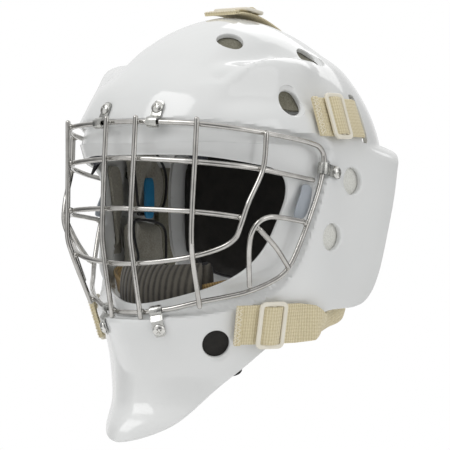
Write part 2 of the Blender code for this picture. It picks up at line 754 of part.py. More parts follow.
def clip_places():
    """Screw point, outward normal and the rim point that each clip hooks, on the +X side."""
    rim = rim_path()
    places = []
    for name, theta_z in (
        ("top", dome_place(25.7, 76.5)),
        ("side", (skin_at(17.0, 28.5), 28.5)),
        ("bottom", dome_place(26.7, -90.0)),
    ):
        spot, normal = frame_at(*theta_z)
        nearest = np.linalg.norm(rim - spot, axis=1).argmin()
        tangent = unit(rim[nearest + 1] - rim[nearest - 1])
        across = unit(tangent - normal * np.dot(tangent, normal))
        towards = np.cross(across, normal)
        gap = rim[nearest] - spot
        if gap @ towards < 0:
            across, towards = -across, -towards
        places.append((name, spot, normal, towards, float(gap @ towards), float(gap @ normal)))
    return places


def dome_place(x, z):
    """Angle of the skin point at the given x on the front, by bisection."""
    low, high = 0.0, math.pi / 2
    for _ in range(40):
        middle = (low + high) / 2
        if base_point(middle, z)[0] < x:
            low = middle
        else:
            high = middle
    return low, z


def clip_profile(reach, height):
    """Centre line of the strip in (towards wire, outward): flat under the screw, then hooked."""
    bend = WIRE_RADIUS + HOOK_GAP + CLIP_THICKNESS / 2
    base = SEAT_GAP + CLIP_THICKNESS / 2
    line = [(-CLIP_TAIL, base), (reach - bend - CLIP_THICKNESS, base)]
    for k in range(9):
        a = math.radians(HOOK_START - HOOK_SWEEP * k / 8)
        line.append((reach + bend * math.cos(a), height + bend * math.sin(a)))
    return np.array(line)


def build_fasteners(shell):
    profile_head = [(0.35, SCREW_HEAD_HEIGHT), (2.6, SCREW_HEAD_HEIGHT - 0.25),
                    (4.2, SCREW_HEAD_HEIGHT - 1.1), (SCREW_HEAD_RADIUS, 0.3), (SCREW_HEAD_RADIUS, 0.0),
                    (SCREW_SHANK_RADIUS, 0.0), (SCREW_SHANK_RADIUS, -SCREW_LENGTH)]
    profile_nut = [(SCREW_SHANK_RADIUS + TOUCH_GAP, 0.0), (NUT_RADIUS, 0.0), (NUT_RADIUS, -NUT_FLANGE),
                   (NUT_BARREL_RADIUS, -NUT_FLANGE), (NUT_BARREL_RADIUS, -NUT_LENGTH),
                   (SCREW_SHANK_RADIUS + TOUCH_GAP, -NUT_LENGTH)]
    for name, spot, normal, towards, reach, height in clip_places():
        for side, word in ((1.0, "left"), (-1.0, "right")):
            flip = np.array([side, 1.0, 1.0])
            here, out, run = spot * flip, normal * flip, towards * flip
            across = np.cross(run, out)
            line = clip_profile(reach, height)
            half = CLIP_THICKNESS / 2
            tangent = np.gradient(line, axis=0)
            tangent /= np.linalg.norm(tangent, axis=1, keepdims=True)
            bent = np.stack([-tangent[:, 1], tangent[:, 0]], axis=1)
            ring = np.vstack([line + bent * half, (line - bent * half)[::-1]])
            count = len(ring)
            verts = [here + run * a + out * b + across * s * CLIP_WIDTH / 2
                     for s in (-1, 1) for a, b in ring]
            faces = [[k, (k + 1) % count, count + (k + 1) % count, count + k] for k in range(count)]
            last = len(line) - 1
            for k in range(last):
                faces.append([k, k + 1, count - 2 - k, count - 1 - k][::-1])
                faces.append([count + v for v in (k, k + 1, count - 2 - k, count - 1 - k)])
            clip = build_object("cage_clip_%s_%s" % (name, word), verts, faces, "zinc", smooth=False)
            label = "%s_%s" % (name, word)
            drill(clip, "cut_clip_" + label, here, out, SCREW_SHANK_RADIUS + TOUCH_GAP, 4.0)
            drill(shell, "cut_screw_" + label, here, out, SCREW_SHANK_RADIUS + TOUCH_GAP, 9.0)
            seat = here + out * (SEAT_GAP + CLIP_THICKNESS + TOUCH_GAP)
            build_object("clip_screw_" + label, *turned_solid(profile_head, seat, out, 10), "steel")
            behind = here - out * (SHELL_WALL + NUT_GAP)
            build_object("clip_nut_" + label, *turned_ring(profile_nut, behind, out, 10), "zinc")


def build_plates():
    """Blank plate inside each side of the rim, its top corners rounded."""
    count = len(PLATE_OUTLINE)
    for side, word in ((1.0, "left"), (-1.0, "right")):
        verts = [np.array([side * x, y, z]) for x in PLATE_FACES for y, z in PLATE_OUTLINE]
        faces = [list(range(count)), [count + k for k in range(count)]]
        faces += [[k, (k + 1) % count, count + (k + 1) % count, count + k] for k in range(count)]
        build_object("rim_plate_" + word, verts, faces, "plate", smooth=False)


# ---------------------------------------------------------------- liner
def build_liner():
    wall = SHELL_WALL + 1.4

    def crown(point):
        return np.full(point.shape[:-1], wall + CROWN_INSET)

    def brow(point):
        z = point[..., 2]
        return wall + (SEAT_DEPTH + 0.4) * smoothstep((88.0 - z) / 10.0) + CROWN_INSET

    def side_wall(point):
        seat = opening_value(point[..., 0], point[..., 1], point[..., 2],
                             SEAT_TOP, SEAT_BOTTOM, OPENING_SIDE_Y + SEAT_WIDTH)
        deeper = SEAT_DEPTH * (1.0 + 0.6 * smoothstep((-25.0 - point[..., 2]) / 40.0))
        return SHELL_WALL + NUT_CLEARANCE + deeper * (1.0 - smoothstep((seat - 5.0) / 12.0))

    reach = math.radians(FOREHEAD_REACH)
    pad("forehead_pad", (-reach, reach), FOREHEAD_HEIGHTS, brow, 11.0, "black_foam", (11, 6))
    start = math.radians(CROWN_START)
    pad("crown_pad", (start, 2 * math.pi - start), CROWN_HEIGHTS, crown, 10.0, "black_foam", (9, 5))
    for side, word in ((1, "left"), (-1, "right")):
        for name, ends, heights, thickness in (
            ("temple_pad_", TEMPLE_RANGE, TEMPLE_HEIGHTS, 11.0),
            ("cheek_pad_", CHEEK_RANGE, CHEEK_HEIGHTS, 13.0),
        ):
            thetas = sorted(skin_at(y, sum(heights) / 2, side) for y in ends)
            pad(name + word, thetas, heights, side_wall, thickness, "grey_foam", (7, 7))


# ---------------------------------------------------------------- harness
def ribbon(name, path, outs, halves, thickness, colour="webbing", origin=(0.0, 0.0, 0.0)):
    """Flat strip along the path, its broad side facing the `outs` directions."""
    profile = [[(-h, -thickness / 2), (h, -thickness / 2), (h, thickness / 2), (-h, thickness / 2)]
               for h in halves]
    verts, faces = sweep(path, profile, outs)
    return build_object(name, verts, faces, colour, origin)


def on_skin(theta, z, lift):
    point, normal = frame_at(theta, z)
    return point + normal * lift, normal


def back_point(turn, z, inset=0.0):
    """Point of the back plate's outer face: turn is 0 at the middle of the back."""
    narrow = 1.0 - 0.10 * ((z - 10.0) / 80.0) ** 2
    deep = BACK_LENGTH - 16.0 * ((z - 30.0) / 100.0) ** 2
    point = np.array([BACK_HALF_WIDTH * narrow * math.sin(turn),
                      BACK_CENTRE_Y + deep * math.cos(turn), z])
    normal = unit((point[0] / (BACK_HALF_WIDTH * narrow) ** 2,
                   (point[1] - BACK_CENTRE_Y) / deep ** 2, 0.000026 * (z - 20.0)))
    return point - normal * inset, normal


def strap_routes():
    """Each strap: points, outward directions and half widths, with its slide's place."""
    half = STRAP_WIDTH / 2
    lift = STRAP_LIFT + STRAP_THICKNESS / 2
    routes = {}
    path, outs = [], []
    for y in np.linspace(-4.0, 52.0, 9):
        point, normal = on_skin(skin_at(y, UPPER_STRAP_Z), UPPER_STRAP_Z, lift)
        path.append(point)
        outs.append(normal)
    for y, under in ((58.0, -1.9), (SLOT_Y - 0.5, SHELL_WALL / 2), (67.0, 6.5), (75.0, 11.5)):
        point, normal = on_skin(skin_at(y, UPPER_STRAP_Z), UPPER_STRAP_Z, -under)
        path.append(point)
        outs.append(normal)
    for turn, z in UPPER_LANDING:
        point, normal = back_point(math.radians(turn), z, -lift)
        path.append(point)
        outs.append(normal)
    widths = [half] * 9 + [half - 0.5, half - 1.0, half - 2.0, half - 3.0] + [half - 4.0] * 3
    routes["upper"] = (path, outs, widths)

    path, outs, widths = [], [], []
    for y in np.linspace(-58.0, 4.0, 9):
        point, normal = on_skin(skin_at(y, LOWER_STRAP_Z), LOWER_STRAP_Z, lift + LOWER_STRAP_EXTRA)
        path.append(point)
        outs.append(normal)
        widths.append(half)
    for point, way, width in LOWER_TUCK:
        path.append(np.array(point))
        outs.append(unit(way))
        widths.append(width)
    for turn, z in LOWER_LANDING:
        point, normal = back_point(math.radians(turn), z, -lift)
        path.append(point)
        outs.append(normal)
        widths.append(half - 4.0)
    routes["lower"] = (path, outs, widths)

    path, outs = [], []
    for y in np.linspace(-6.0, 118.0, 13):
        theta, z = dome_at(0.0, y)
        point, normal = on_skin(theta, z, lift)
        path.append(point)
        outs.append(normal)
    for turn, z in TOP_LANDING:
        point, normal = back_point(math.radians(turn), z, -lift)
        path.append(point)
        outs.append(normal)
    path.insert(13, np.array([0.0, 144.5, 84.0]))
    outs.insert(13, unit((0.0, 1.0, 0.35)))
    routes["top"] = (path, outs, [half] * len(path))
    return routes


def smooth_route(path, outs, widths, steps):
    """Spline through the path, with the directions and half widths blended between its points."""
    points = spline(path, steps)
    place = np.linspace(0, len(path) - 1, len(points))
    knots = np.arange(len(path))
    outs = np.array(outs)
    normals = [unit([np.interp(t, knots, outs[:, k]) for k in range(3)]) for t in place]
    return points, normals, np.interp(place, knots, widths)


def build_straps():
    for key, (path, outs, widths) in strap_routes().items():
        points, normals, halves = smooth_route(path, outs, widths, 2)
        for side, word in ((1.0, "_left"), (-1.0, "_right")) if key != "top" else ((1.0, ""),):
            flip = np.array([side, 1.0, 1.0])
            strap = ribbon("%s_strap%s" % (key, word), points * flip,
                           [n * flip for n in normals], halves, STRAP_THICKNESS)
            spot, normal = points[-2] * flip, normals[-2] * flip
            label = key + word
            drill(strap, "cut_strap_" + label, spot, normal, SCREW_SHANK_RADIUS + TOUCH_GAP, 5.0)
            yield label, spot, normal


def slide_places():
    """Middle, outward normal and strap direction of each slide."""
    lift = STRAP_LIFT + STRAP_THICKNESS + SLIDE_LIFT + SLIDE_THICKNESS / 2
    places = []
    for side, word in ((1.0, "left"), (-1.0, "right")):
        flip = np.array([side, 1.0, 1.0])
        for key, y, z, extra in (("upper", UPPER_SLIDE_Y, UPPER_STRAP_Z, 0.0),
                                 ("lower", LOWER_SLIDE_Y, LOWER_STRAP_Z, LOWER_STRAP_EXTRA)):
            raised = lift + extra
            point, normal = on_skin(skin_at(y, z), z, raised)
            places.append(("%s_slide_%s" % (key, word), point * flip, normal * flip))
    theta, z = dome_at(0.0, TOP_SLIDE_Y)
    point, normal = on_skin(theta, z, lift)
    places.append(("top_slide", point, normal))
    return places


def build_slides():
    """Three-bar slide: a plate pierced by two windows either side of its middle bar."""
    half_l, half_w, bar = SLIDE_LENGTH / 2, SLIDE_WIDTH / 2, SLIDE_BAR
    ys = [-half_l, -half_l + bar, -bar / 2, bar / 2, half_l - bar, half_l]
    xs = [-half_w, -STRAP_WIDTH / 2 - 0.8, STRAP_WIDTH / 2 + 0.8, half_w]
    for name, spot, normal in slide_places():
        up = np.array([0.0, 1.0, 0.0]) if name == "top_slide" else np.array([0.0, 0.0, 1.0])
        if name == "top_slide":
            along = unit(up - normal * np.dot(up, normal))
            across = np.cross(along, normal)
        else:
            across = unit(up - normal * np.dot(up, normal))
            along = np.cross(normal, across)
        layers = []
        for level in (1.0, -1.0):
            layers.append(np.array([spot + across * x + along * y + normal * level * SLIDE_THICKNESS / 2
                                    for y in ys for x in xs]))
        windows = (4, 10)
        kept = [face for k, face in enumerate(grid_faces(6, 4)) if k not in windows]
        verts, solid = join_layers(layers[0], layers[1], kept)
        build_object(name, verts, solid, "nylon", origin=tuple(spot), smooth=False)


# ---------------------------------------------------------------- back plate
def plate_outline(v):
    """Half turn of the back plate at height share v, from -1 at the bottom to 1 at the top."""
    return math.radians(BACK_SPREAD) * (1 - np.abs(v) ** 4.5) ** (1 / 4.5)


def back_layer(inset, shrink, rows, columns):
    heights = np.sin(np.linspace(-1, 1, rows) * math.pi / 2 * 0.97)
    middle, half = (BACK_TOP + BACK_BOTTOM) / 2, (BACK_TOP - BACK_BOTTOM) / 2 * shrink
    points = []
    for v in heights:
        for u in np.linspace(-1, 1, columns):
            points.append(back_point(u * plate_outline(v) * shrink, middle + v * half, inset)[0])
    return np.array(points)


def build_back(anchors):
    rows, columns = 9, 13
    faces = grid_faces(rows, columns)
    verts, solid = join_layers(back_layer(0.0, 1.0, rows, columns),
                               back_layer(BACK_WALL, 1.0, rows, columns), faces)
    plate = build_object("back_plate", verts, solid, "polymer", BACK_HINGE)
    gap = BACK_WALL + BACK_FOAM_GAP
    verts, solid = join_layers(back_layer(gap, 0.93, rows, columns),
                               back_layer(gap + BACK_FOAM, 0.90, rows, columns), faces)
    build_object("back_plate_foam", verts, solid, "black_foam", BACK_HINGE)
    head = [(0.35, 2.1), (2.8, 1.8), (4.7, 1.0), (RIVET_RADIUS, 0.0), (SCREW_SHANK_RADIUS, 0.0),
            (SCREW_SHANK_RADIUS, -5.4)]
    for label, spot, normal in anchors:
        drill(plate, "cut_back_" + label, spot, normal, SCREW_SHANK_RADIUS + TOUCH_GAP, 9.0)
        seat = spot + normal * (STRAP_THICKNESS / 2 + TOUCH_GAP)
        build_object("strap_rivet_" + label, *turned_solid(head, seat, normal, 10), "zinc", BACK_HINGE)


# ---------------------------------------------------------------- chin cup
def cup_point(turn, lean, inset):
    """Point of the chin cup, `inset` millimetres in from its outer face."""
    reach = CUP_REACH - inset
    return np.array(CUP_CENTRE) + np.array([
        (CUP_HALF_WIDTH - inset) * math.sin(turn),
        8.0 - reach * math.cos(turn) * math.cos(lean * 0.8),
        (CUP_HEIGHT - inset * 0.4) * math.sin(lean) - 6.0 * math.cos(turn)])


def build_chin():
    """Moulded cup with a rolled front, and the sling strap that carries it from two snaps."""
    rows, columns = 7, 11
    outer, inner = [], []
    for v in np.linspace(-1, 1, rows):
        for u in np.linspace(-1, 1, columns):
            turn = u * math.radians(CUP_TURN) * (1 - 0.12 * abs(v) ** 3)
            outer.append(cup_point(turn, v * math.radians(CUP_LEAN), 0.0))
            inner.append(cup_point(turn, v * math.radians(CUP_LEAN), CUP_WALL))
    verts, faces = join_layers(np.array(outer), np.array(inner), grid_faces(rows, columns))
    build_object("chin_cup", verts, faces, "sling", origin=(0.0, CUP_PIVOT[1], CUP_PIVOT[2]))

    path = [np.array(p) for p in list(SLING) + [mirrored(p) for p in reversed(SLING[:-1])]]
    outs = [unit((p[0], min(0.0, (p[1] + 37.5) * 1.4), -0.001)) for p in path]
    points, normals, halves = smooth_route(path, outs, [SLING_HALF_WIDTH] * len(path), 3)
    ribbon("chin_strap", points, normals, halves, SLING_THICKNESS, "sling",
           (0.0, CUP_PIVOT[1], CUP_PIVOT[2]))
    button = [(0.35, 3.4), (5.0, 3.0), (6.5, 1.2), (6.5, 0.0), (0.35, 0.0)]
    for side, word in ((1.0, "left"), (-1.0, "right")):
        spot = np.array([side * CUP_PIVOT[0], CUP_PIVOT[1], CUP_PIVOT[2]])
        build_object("chin_snap_" + word, *turned_solid(button, spot, (side, 0.0, 0.0), 12), "zinc")


def main():
    clear_scene()
    shell = build_shell()
    build_cage()
    build_fasteners(shell)
    build_plates()
    build_liner()
    anchors = list(build_straps())
    build_slides()
    build_back(anchors)
    build_chin()


main()
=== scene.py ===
"""Looks of the goalie mask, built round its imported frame.

Every piece is made in millimetres in the frame's own axes: +X is the wearer's left, the face looks
along -Y and +Z is up. Each sub-assembly is one class that holds its sizes and makes its pieces.
"""
import logging
import math
from dataclasses import dataclass, field
from enum import Enum
from typing import Iterable, Sequence

import bmesh
import bpy
import numpy as np
from mathutils import Matrix, Vector

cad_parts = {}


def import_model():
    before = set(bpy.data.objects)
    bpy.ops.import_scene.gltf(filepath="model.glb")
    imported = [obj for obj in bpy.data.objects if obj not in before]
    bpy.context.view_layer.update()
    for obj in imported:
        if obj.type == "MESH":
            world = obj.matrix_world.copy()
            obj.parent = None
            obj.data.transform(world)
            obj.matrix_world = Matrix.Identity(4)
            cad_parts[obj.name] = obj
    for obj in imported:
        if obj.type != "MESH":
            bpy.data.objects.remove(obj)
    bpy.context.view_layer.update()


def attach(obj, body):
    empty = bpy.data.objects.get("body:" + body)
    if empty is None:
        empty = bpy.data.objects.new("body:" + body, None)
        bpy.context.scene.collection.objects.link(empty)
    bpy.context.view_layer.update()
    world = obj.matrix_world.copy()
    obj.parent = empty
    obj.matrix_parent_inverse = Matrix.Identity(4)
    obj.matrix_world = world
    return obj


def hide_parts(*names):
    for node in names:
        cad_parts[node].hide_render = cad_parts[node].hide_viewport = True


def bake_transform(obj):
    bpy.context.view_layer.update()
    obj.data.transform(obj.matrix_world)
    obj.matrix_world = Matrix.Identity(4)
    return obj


LOG = logging.getLogger("goalie_mask")
MM = 0.001
Point = Sequence[float]


class Side(Enum):
    """Which half of the mask a piece belongs to."""

    LEFT = 1.0
    RIGHT = -1.0

    @property
    def word(self) -> str:
        """Name of the side as the frame's nodes spell it."""
        return self.name.lower()

    @property
    def flip(self) -> np.ndarray:
        """Factors that carry a point of the left half to this side."""
        return np.array([self.value, 1.0, 1.0])


class Body(Enum):
    """Rigid bodies of the frame."""

    SHELL = "mask_shell"
    BACK = "back_plate"
    CHIN = "chin_cup"


# ---------------------------------------------------------------- finishes
def srgb(value: int) -> tuple[float, float, float, float]:
    """Turn an sRGB hex colour to linear light.

    Args:
        value: Colour as 0xRRGGBB.

    Returns:
        Linear red, green, blue and an alpha of 1.
    """
    parts = [((value >> shift) & 255) / 255 for shift in (16, 8, 0)]
    linear = [p / 12.92 if p <= 0.04045 else ((p + 0.055) / 1.055) ** 2.4 for p in parts]
    return (linear[0], linear[1], linear[2], 1.0)


def add_node(tree: bpy.types.NodeTree, kind: str, values: dict | None = None,
             links: dict | None = None, **settings: object) -> bpy.types.Node:
    """Add a node with its settings, socket values and incoming links.

    Args:
        tree: Tree that gets the node.
        kind: Blender's node type name.
        values: Socket name or index to its constant.
        links: Socket name or index to the output that feeds it.
        **settings: Attributes of the node itself.

    Returns:
        The new node.
    """
    node = tree.nodes.new(kind)
    for key, value in settings.items():
        setattr(node, key, value)
    for key, value in (values or {}).items():
        node.inputs[key].default_value = value
    for key, source in (links or {}).items():
        tree.links.new(source, node.inputs[key])
    return node


@dataclass(frozen=True)
class Finish:
    """A surface as its maker leaves it; subclasses add the pattern that shows on it."""

    name: str
    colour: int
    roughness: float
    # Second tone: a random mottle in most finishes; in the webbing and knit finishes it is painted shade in the hollows
    # of the weave
    shade: int = 0
    metallic: float = 0.0
    ior: float = 1.5
    coat: float = 0.0
    sheen: float = 0.0

    def material(self) -> bpy.types.Material:
        """Build the material once and hand the same one out afterwards.

        Returns:
            The finished Blender material.
        """
        found = bpy.data.materials.get(self.name)
        if found:
            return found
        made = bpy.data.materials.new(self.name)
        made.use_nodes = True
        tree = made.node_tree
        shader = tree.nodes["Principled BSDF"]
        shader.inputs["Base Color"].default_value = srgb(self.colour)
        shader.inputs["Roughness"].default_value = self.roughness
        shader.inputs["Metallic"].default_value = self.metallic
        if not self.metallic:
            shader.inputs["IOR"].default_value = self.ior
        shader.inputs["Coat Weight"].default_value = self.coat
        shader.inputs["Coat Roughness"].default_value = 0.03
        shader.inputs["Sheen Weight"].default_value = self.sheen
        shader.inputs["Sheen Roughness"].default_value = 0.4
        self.pattern(tree, shader)
        return made

    def pattern(self, tree: bpy.types.NodeTree, shader: bpy.types.Node) -> None:
        """Add the surface's own detail; the plain finish has a faint mottle.

        Args:
            tree: The material's node tree.
            shader: Its Principled shader.
        """
        self.mottle(tree, shader, 12.0, 0.25)

    def coordinates(self, tree: bpy.types.NodeTree, uv: bool = False) -> bpy.types.NodeSocket:
        """Give the piece's own coordinates, in metres on Object and millimetres on the UV map."""
        node = add_node(tree, "ShaderNodeTexCoord")
        return node.outputs["UV" if uv else "Object"]

    def mottle(self, tree: bpy.types.NodeTree, shader: bpy.types.Node, size: float,
               amount: float) -> None:
        """Vary the colour between the finish's two tones.

        Args:
            tree: The material's node tree.
            shader: Its Principled shader.
            size: Width of a patch in millimetres.
            amount: Share of the second tone at its strongest.
        """
        noise = add_node(tree, "ShaderNodeTexNoise", {"Scale": 1000.0 / size, "Detail": 3.0},
                         {"Vector": self.coordinates(tree)})
        level = add_node(tree, "ShaderNodeMapRange", {"From Min": 0.35, "From Max": 0.7, "To Max": amount},
                         {"Value": noise.outputs["Fac"]})
        mix = add_node(tree, "ShaderNodeMix", {"A": srgb(self.colour), "B": srgb(self.shade or self.colour)},
                       {"Factor": level.outputs["Result"]}, data_type="RGBA")
        # The colour sockets of a Mix node share their names with its number sockets
        mix.inputs[6].default_value = srgb(self.colour)
        mix.inputs[7].default_value = srgb(self.shade or self.colour)
        tree.links.new(mix.outputs[2], shader.inputs["Base Color"])

    def relief(self, tree: bpy.types.NodeTree, shader: bpy.types.Node, height: bpy.types.NodeSocket,
               depth: float) -> None:
        """Turn a height into a bump of the given depth in millimetres."""
        bump = add_node(tree, "ShaderNodeBump", {"Distance": depth * MM, "Strength": 1.0}, {"Height": height})
        tree.links.new(bump.outputs["Normal"], shader.inputs["Normal"])

    def worn(self, tree: bpy.types.NodeTree, shader: bpy.types.Node, size: float, spread: float) -> None:
        """Let the roughness wander by `spread` over patches `size` millimetres wide."""
        noise = add_node(tree, "ShaderNodeTexNoise", {"Scale": 1000.0 / size, "Detail": 5.0},
                         {"Vector": self.coordinates(tree)})
        level = add_node(tree, "ShaderNodeMapRange",
                         {"From Min": 0.3, "From Max": 0.7, "To Min": max(self.roughness - spread, 0.02),
                          "To Max": self.roughness + spread}, {"Value": noise.outputs["Fac"]})
        tree.links.new(level.outputs["Result"], shader.inputs["Roughness"])


@dataclass(frozen=True)
class GelCoat(Finish):
    """Gel-coated glass-fibre laminate: deep gloss, with the faint waviness of a hand-laid moulding."""

    def pattern(self, tree: bpy.types.NodeTree, shader: bpy.types.Node) -> None:
        """Add a slow waviness, a fine orange peel and a few rubbed patches."""
        self.mottle(tree, shader, 60.0, 0.35)
        self.worn(tree, shader, 22.0, 0.05)
        where = self.coordinates(tree)
        # Orange peel is about 1.5 mm from crest to crest and a few hundredths deep
        peel = add_node(tree, "ShaderNodeTexNoise", {"Scale": 1000.0 / 1.6, "Detail": 1.0}, {"Vector": where})
        wave = add_node(tree, "ShaderNodeTexNoise", {"Scale": 1000.0 / 26.0, "Detail": 1.0}, {"Vector": where})
        height = add_node(tree, "ShaderNodeMath", {1: 14.0}, {0: wave.outputs["Fac"], 2: peel.outputs["Fac"]},
                          operation="MULTIPLY_ADD")
        self.relief(tree, shader, height.outputs[0], 0.012)


@dataclass(frozen=True)
class PlatedMetal(Finish):
    """Plated steel: mirror bright or dull, with drawing lines and handling marks in its roughness."""

    grain: float = 5.0

    def pattern(self, tree: bpy.types.NodeTree, shader: bpy.types.Node) -> None:
        """Add handling marks and a slight ripple in the plating."""
        self.mottle(tree, shader, self.grain * 1.7, 0.6)
        self.worn(tree, shader, self.grain, self.roughness * 0.5)
        ripple = add_node(tree, "ShaderNodeTexNoise", {"Scale": 1000.0 / 2.4, "Detail": 2.0},
                          {"Vector": self.coordinates(tree)})
        self.relief(tree, shader, ripple.outputs["Fac"], 0.02)


@dataclass(frozen=True)
class ElasticWebbing(Finish):
    """Woven elastic webbing: rubber cords crossed by picks, so fine ribs run across the strap."""

    rib: float = 2.1
    cord: float = 2.6

    def pattern(self, tree: bpy.types.NodeTree, shader: bpy.types.Node) -> None:
        """Weave ribs across and cords along, drawn about twice as coarse as real so that they show, and darken the
        grooves with painted shade.
        """
        split = add_node(tree, "ShaderNodeSeparateXYZ", {}, {0: self.coordinates(tree, uv=True)})
        turns = [add_node(tree, "ShaderNodeMath", {1: 2 * math.pi / pitch},
                          {0: split.outputs[axis]}, operation="MULTIPLY")
                 for axis, pitch in ((0, self.rib), (1, self.cord))]
        waves = [add_node(tree, "ShaderNodeMath", {}, {0: turn.outputs[0]}, operation="SINE") for turn in turns]
        fuzz = add_node(tree, "ShaderNodeTexNoise", {"Scale": 1000.0 / 0.9, "Detail": 3.0},
                        {"Vector": self.coordinates(tree)})
        ribs = add_node(tree, "ShaderNodeMath", {1: 0.5}, {0: waves[1].outputs[0], 2: waves[0].outputs[0]},
                        operation="MULTIPLY_ADD")
        height = add_node(tree, "ShaderNodeMath", {1: 1.2}, {0: fuzz.outputs["Fac"], 2: ribs.outputs[0]},
                          operation="MULTIPLY_ADD")
        self.relief(tree, shader, height.outputs[0], 0.16)
        # Colour follows the weave's height: the grooves take the darker tone, painted shade
        level = add_node(tree, "ShaderNodeMapRange", {"From Min": -1.0, "From Max": 2.0, "To Min": 1.0, "To Max": 0.0},
                         {"Value": height.outputs[0]})
        mix = add_node(tree, "ShaderNodeMix", {}, {"Factor": level.outputs["Result"]}, data_type="RGBA")
        mix.inputs[6].default_value = srgb(self.colour)
        mix.inputs[7].default_value = srgb(self.shade)
        tree.links.new(mix.outputs[2], shader.inputs["Base Color"])


@dataclass(frozen=True)
class KnitCloth(Finish):
    """Brushed knit or ribbed stretch cloth over foam: soft, matt and slightly fuzzy at a glancing look."""

    rib: float = 0.0
    lean: float = 0.0

    def pattern(self, tree: bpy.types.NodeTree, shader: bpy.types.Node) -> None:
        """Add knit loops about a millimetre wide, and ribs where the cloth has them, with painted shade in their
        hollows and a random tone shift.
        """
        where = self.coordinates(tree)
        loops = add_node(tree, "ShaderNodeTexVoronoi", {"Scale": 1000.0 / 1.3}, {"Vector": where})
        cloud = add_node(tree, "ShaderNodeTexNoise", {"Scale": 1000.0 / 7.0, "Detail": 4.0}, {"Vector": where})
        height, depth = loops.outputs["Distance"], 0.18
        if self.rib:
            turned = add_node(tree, "ShaderNodeMapping", {"Rotation": (0.0, self.lean, 0.0)}, {"Vector": where})
            wave = add_node(tree, "ShaderNodeTexWave",
                            {"Scale": 1000.0 / (self.rib * 20.0) * math.pi, "Distortion": 0.6, "Detail": 1.0},
                            {"Vector": turned.outputs[0]}, bands_direction="X")
            joined = add_node(tree, "ShaderNodeMath", {1: 0.25},
                              {0: loops.outputs["Distance"], 2: wave.outputs["Fac"]}, operation="MULTIPLY_ADD")
            height, depth = joined.outputs[0], 0.55
        self.relief(tree, shader, height, depth)
        # Colour is darker where the loops and ribs sink, painted shade, and shifts at random with the cloud noise
        blend = add_node(tree, "ShaderNodeMath", {1: 0.6}, {0: cloud.outputs["Fac"], 2: height},
                         operation="MULTIPLY_ADD")
        level = add_node(tree, "ShaderNodeMapRange", {"From Min": 0.2, "From Max": 1.2}, {"Value": blend.outputs[0]})
        mix = add_node(tree, "ShaderNodeMix", {}, {"Factor": level.outputs["Result"]}, data_type="RGBA")
        mix.inputs[6].default_value = srgb(self.shade)
        mix.inputs[7].default_value = srgb(self.colour)
        tree.links.new(mix.outputs[2], shader.inputs["Base Color"])


@dataclass(frozen=True)
class CellFoam(Finish):
    """Closed-cell EVA or nitrile foam: a matt skin pitted with the pores of the cut cells."""

    cell: float = 1.6

    def pattern(self, tree: bpy.types.NodeTree, shader: bpy.types.Node) -> None:
        """Add pores, drawn larger than the real 0.5 mm cells so that they show."""
        self.mottle(tree, shader, 9.0, 0.7)
        cells = add_node(tree, "ShaderNodeTexVoronoi", {"Scale": 1000.0 / self.cell},
                         {"Vector": self.coordinates(tree)}, feature="SMOOTH_F1")
        self.relief(tree, shader, cells.outputs["Distance"], 0.25)


@dataclass(frozen=True)
class MouldedPlastic(Finish):
    """Injection-moulded nylon or polypropylene: satin, with the grain of a spark-eroded mould."""

    def pattern(self, tree: bpy.types.NodeTree, shader: bpy.types.Node) -> None:
        """Add the mould grain, a slow tone shift and rubbed high spots."""
        self.mottle(tree, shader, 18.0, 0.5)
        self.worn(tree, shader, 6.0, 0.08)
        grain = add_node(tree, "ShaderNodeTexNoise", {"Scale": 1000.0 / 0.9, "Detail": 2.0},
                         {"Vector": self.coordinates(tree)})
        self.relief(tree, shader, grain.outputs["Fac"], 0.03)


# Polished white gel coat over laminate: clean highlights with softened edges
SHELL_GEL = GelCoat("white_gel_coated_fibreglass", 0xE3E4E3, 0.12, shade=0xDCDEDE, coat=0.6)
# Chromed 4 mm steel wire: dark and bright streaks along each bar
CAGE_CHROME = PlatedMetal("chromed_steel_wire", 0xC8C6C2, 0.09, shade=0xA5A39F, metallic=1.0)
# Weld metal under the chrome is a little duller and lumpier than the wire
WELD_CHROME = PlatedMetal("chromed_weld", 0xBDBBB7, 0.16, shade=0x98968F, metallic=1.0, grain=1.5)
SCREW_CHROME = PlatedMetal("chromed_screw_steel", 0xDDDCD8, 0.10, shade=0xBFBFBB, metallic=1.0, grain=2.0)
# Zinc plate on pressed strip: greyer, with a brushed spread of gloss
CLIP_ZINC = PlatedMetal("zinc_plated_strip_steel", 0xC4C4C0, 0.24, shade=0xA2A29E, metallic=1.0, grain=3.0)
PLATE_PAINT = MouldedPlastic("satin_grey_enamel", 0xA9AFB6, 0.38, shade=0x98A0A8)
# Cream webbing; its darker tone is painted shade in the weave's grooves
STRAP_WEB = ElasticWebbing("cream_elastic_webbing", 0xE6DBBB, 0.85, shade=0xCDBF97, sheen=0.25)
# Chin sling webbing: cream elastic darkened to ochre, painted shadow for the shade it hangs in; its darker tone is
# painted shade in the grooves
CHIN_SLING_PAINTED_SHADOW_WEB = ElasticWebbing("ochre_elastic_webbing", 0xA98D5B, 0.85, shade=0x6F5A36, sheen=0.2)
STITCH_YARN = Finish("bonded_polyester_thread", 0xF2EBD8, 0.6, shade=0xD9CDAE, sheen=0.4)
SLIDE_NYLON = MouldedPlastic("natural_moulded_nylon", 0xEDE8DA, 0.36, shade=0xDDD6C3)
# Knit cloths here and the ribbed cup cloth below: each darker tone is painted shade in the hollows of the knit, mixed
# with a random tone shift; the foam's is a random mottle
LINER_GREY = KnitCloth("grey_brushed_liner_knit", 0xA29E92, 0.88, shade=0x77746A, sheen=0.35)
# Pale knit of the sheets inside the ear vents: painted light for the bright view through them
VENT_PAINTED_LIGHT_KNIT = KnitCloth("pale_backing_knit", 0xE2E2DC, 0.85, shade=0xCFCFC8, sheen=0.2)
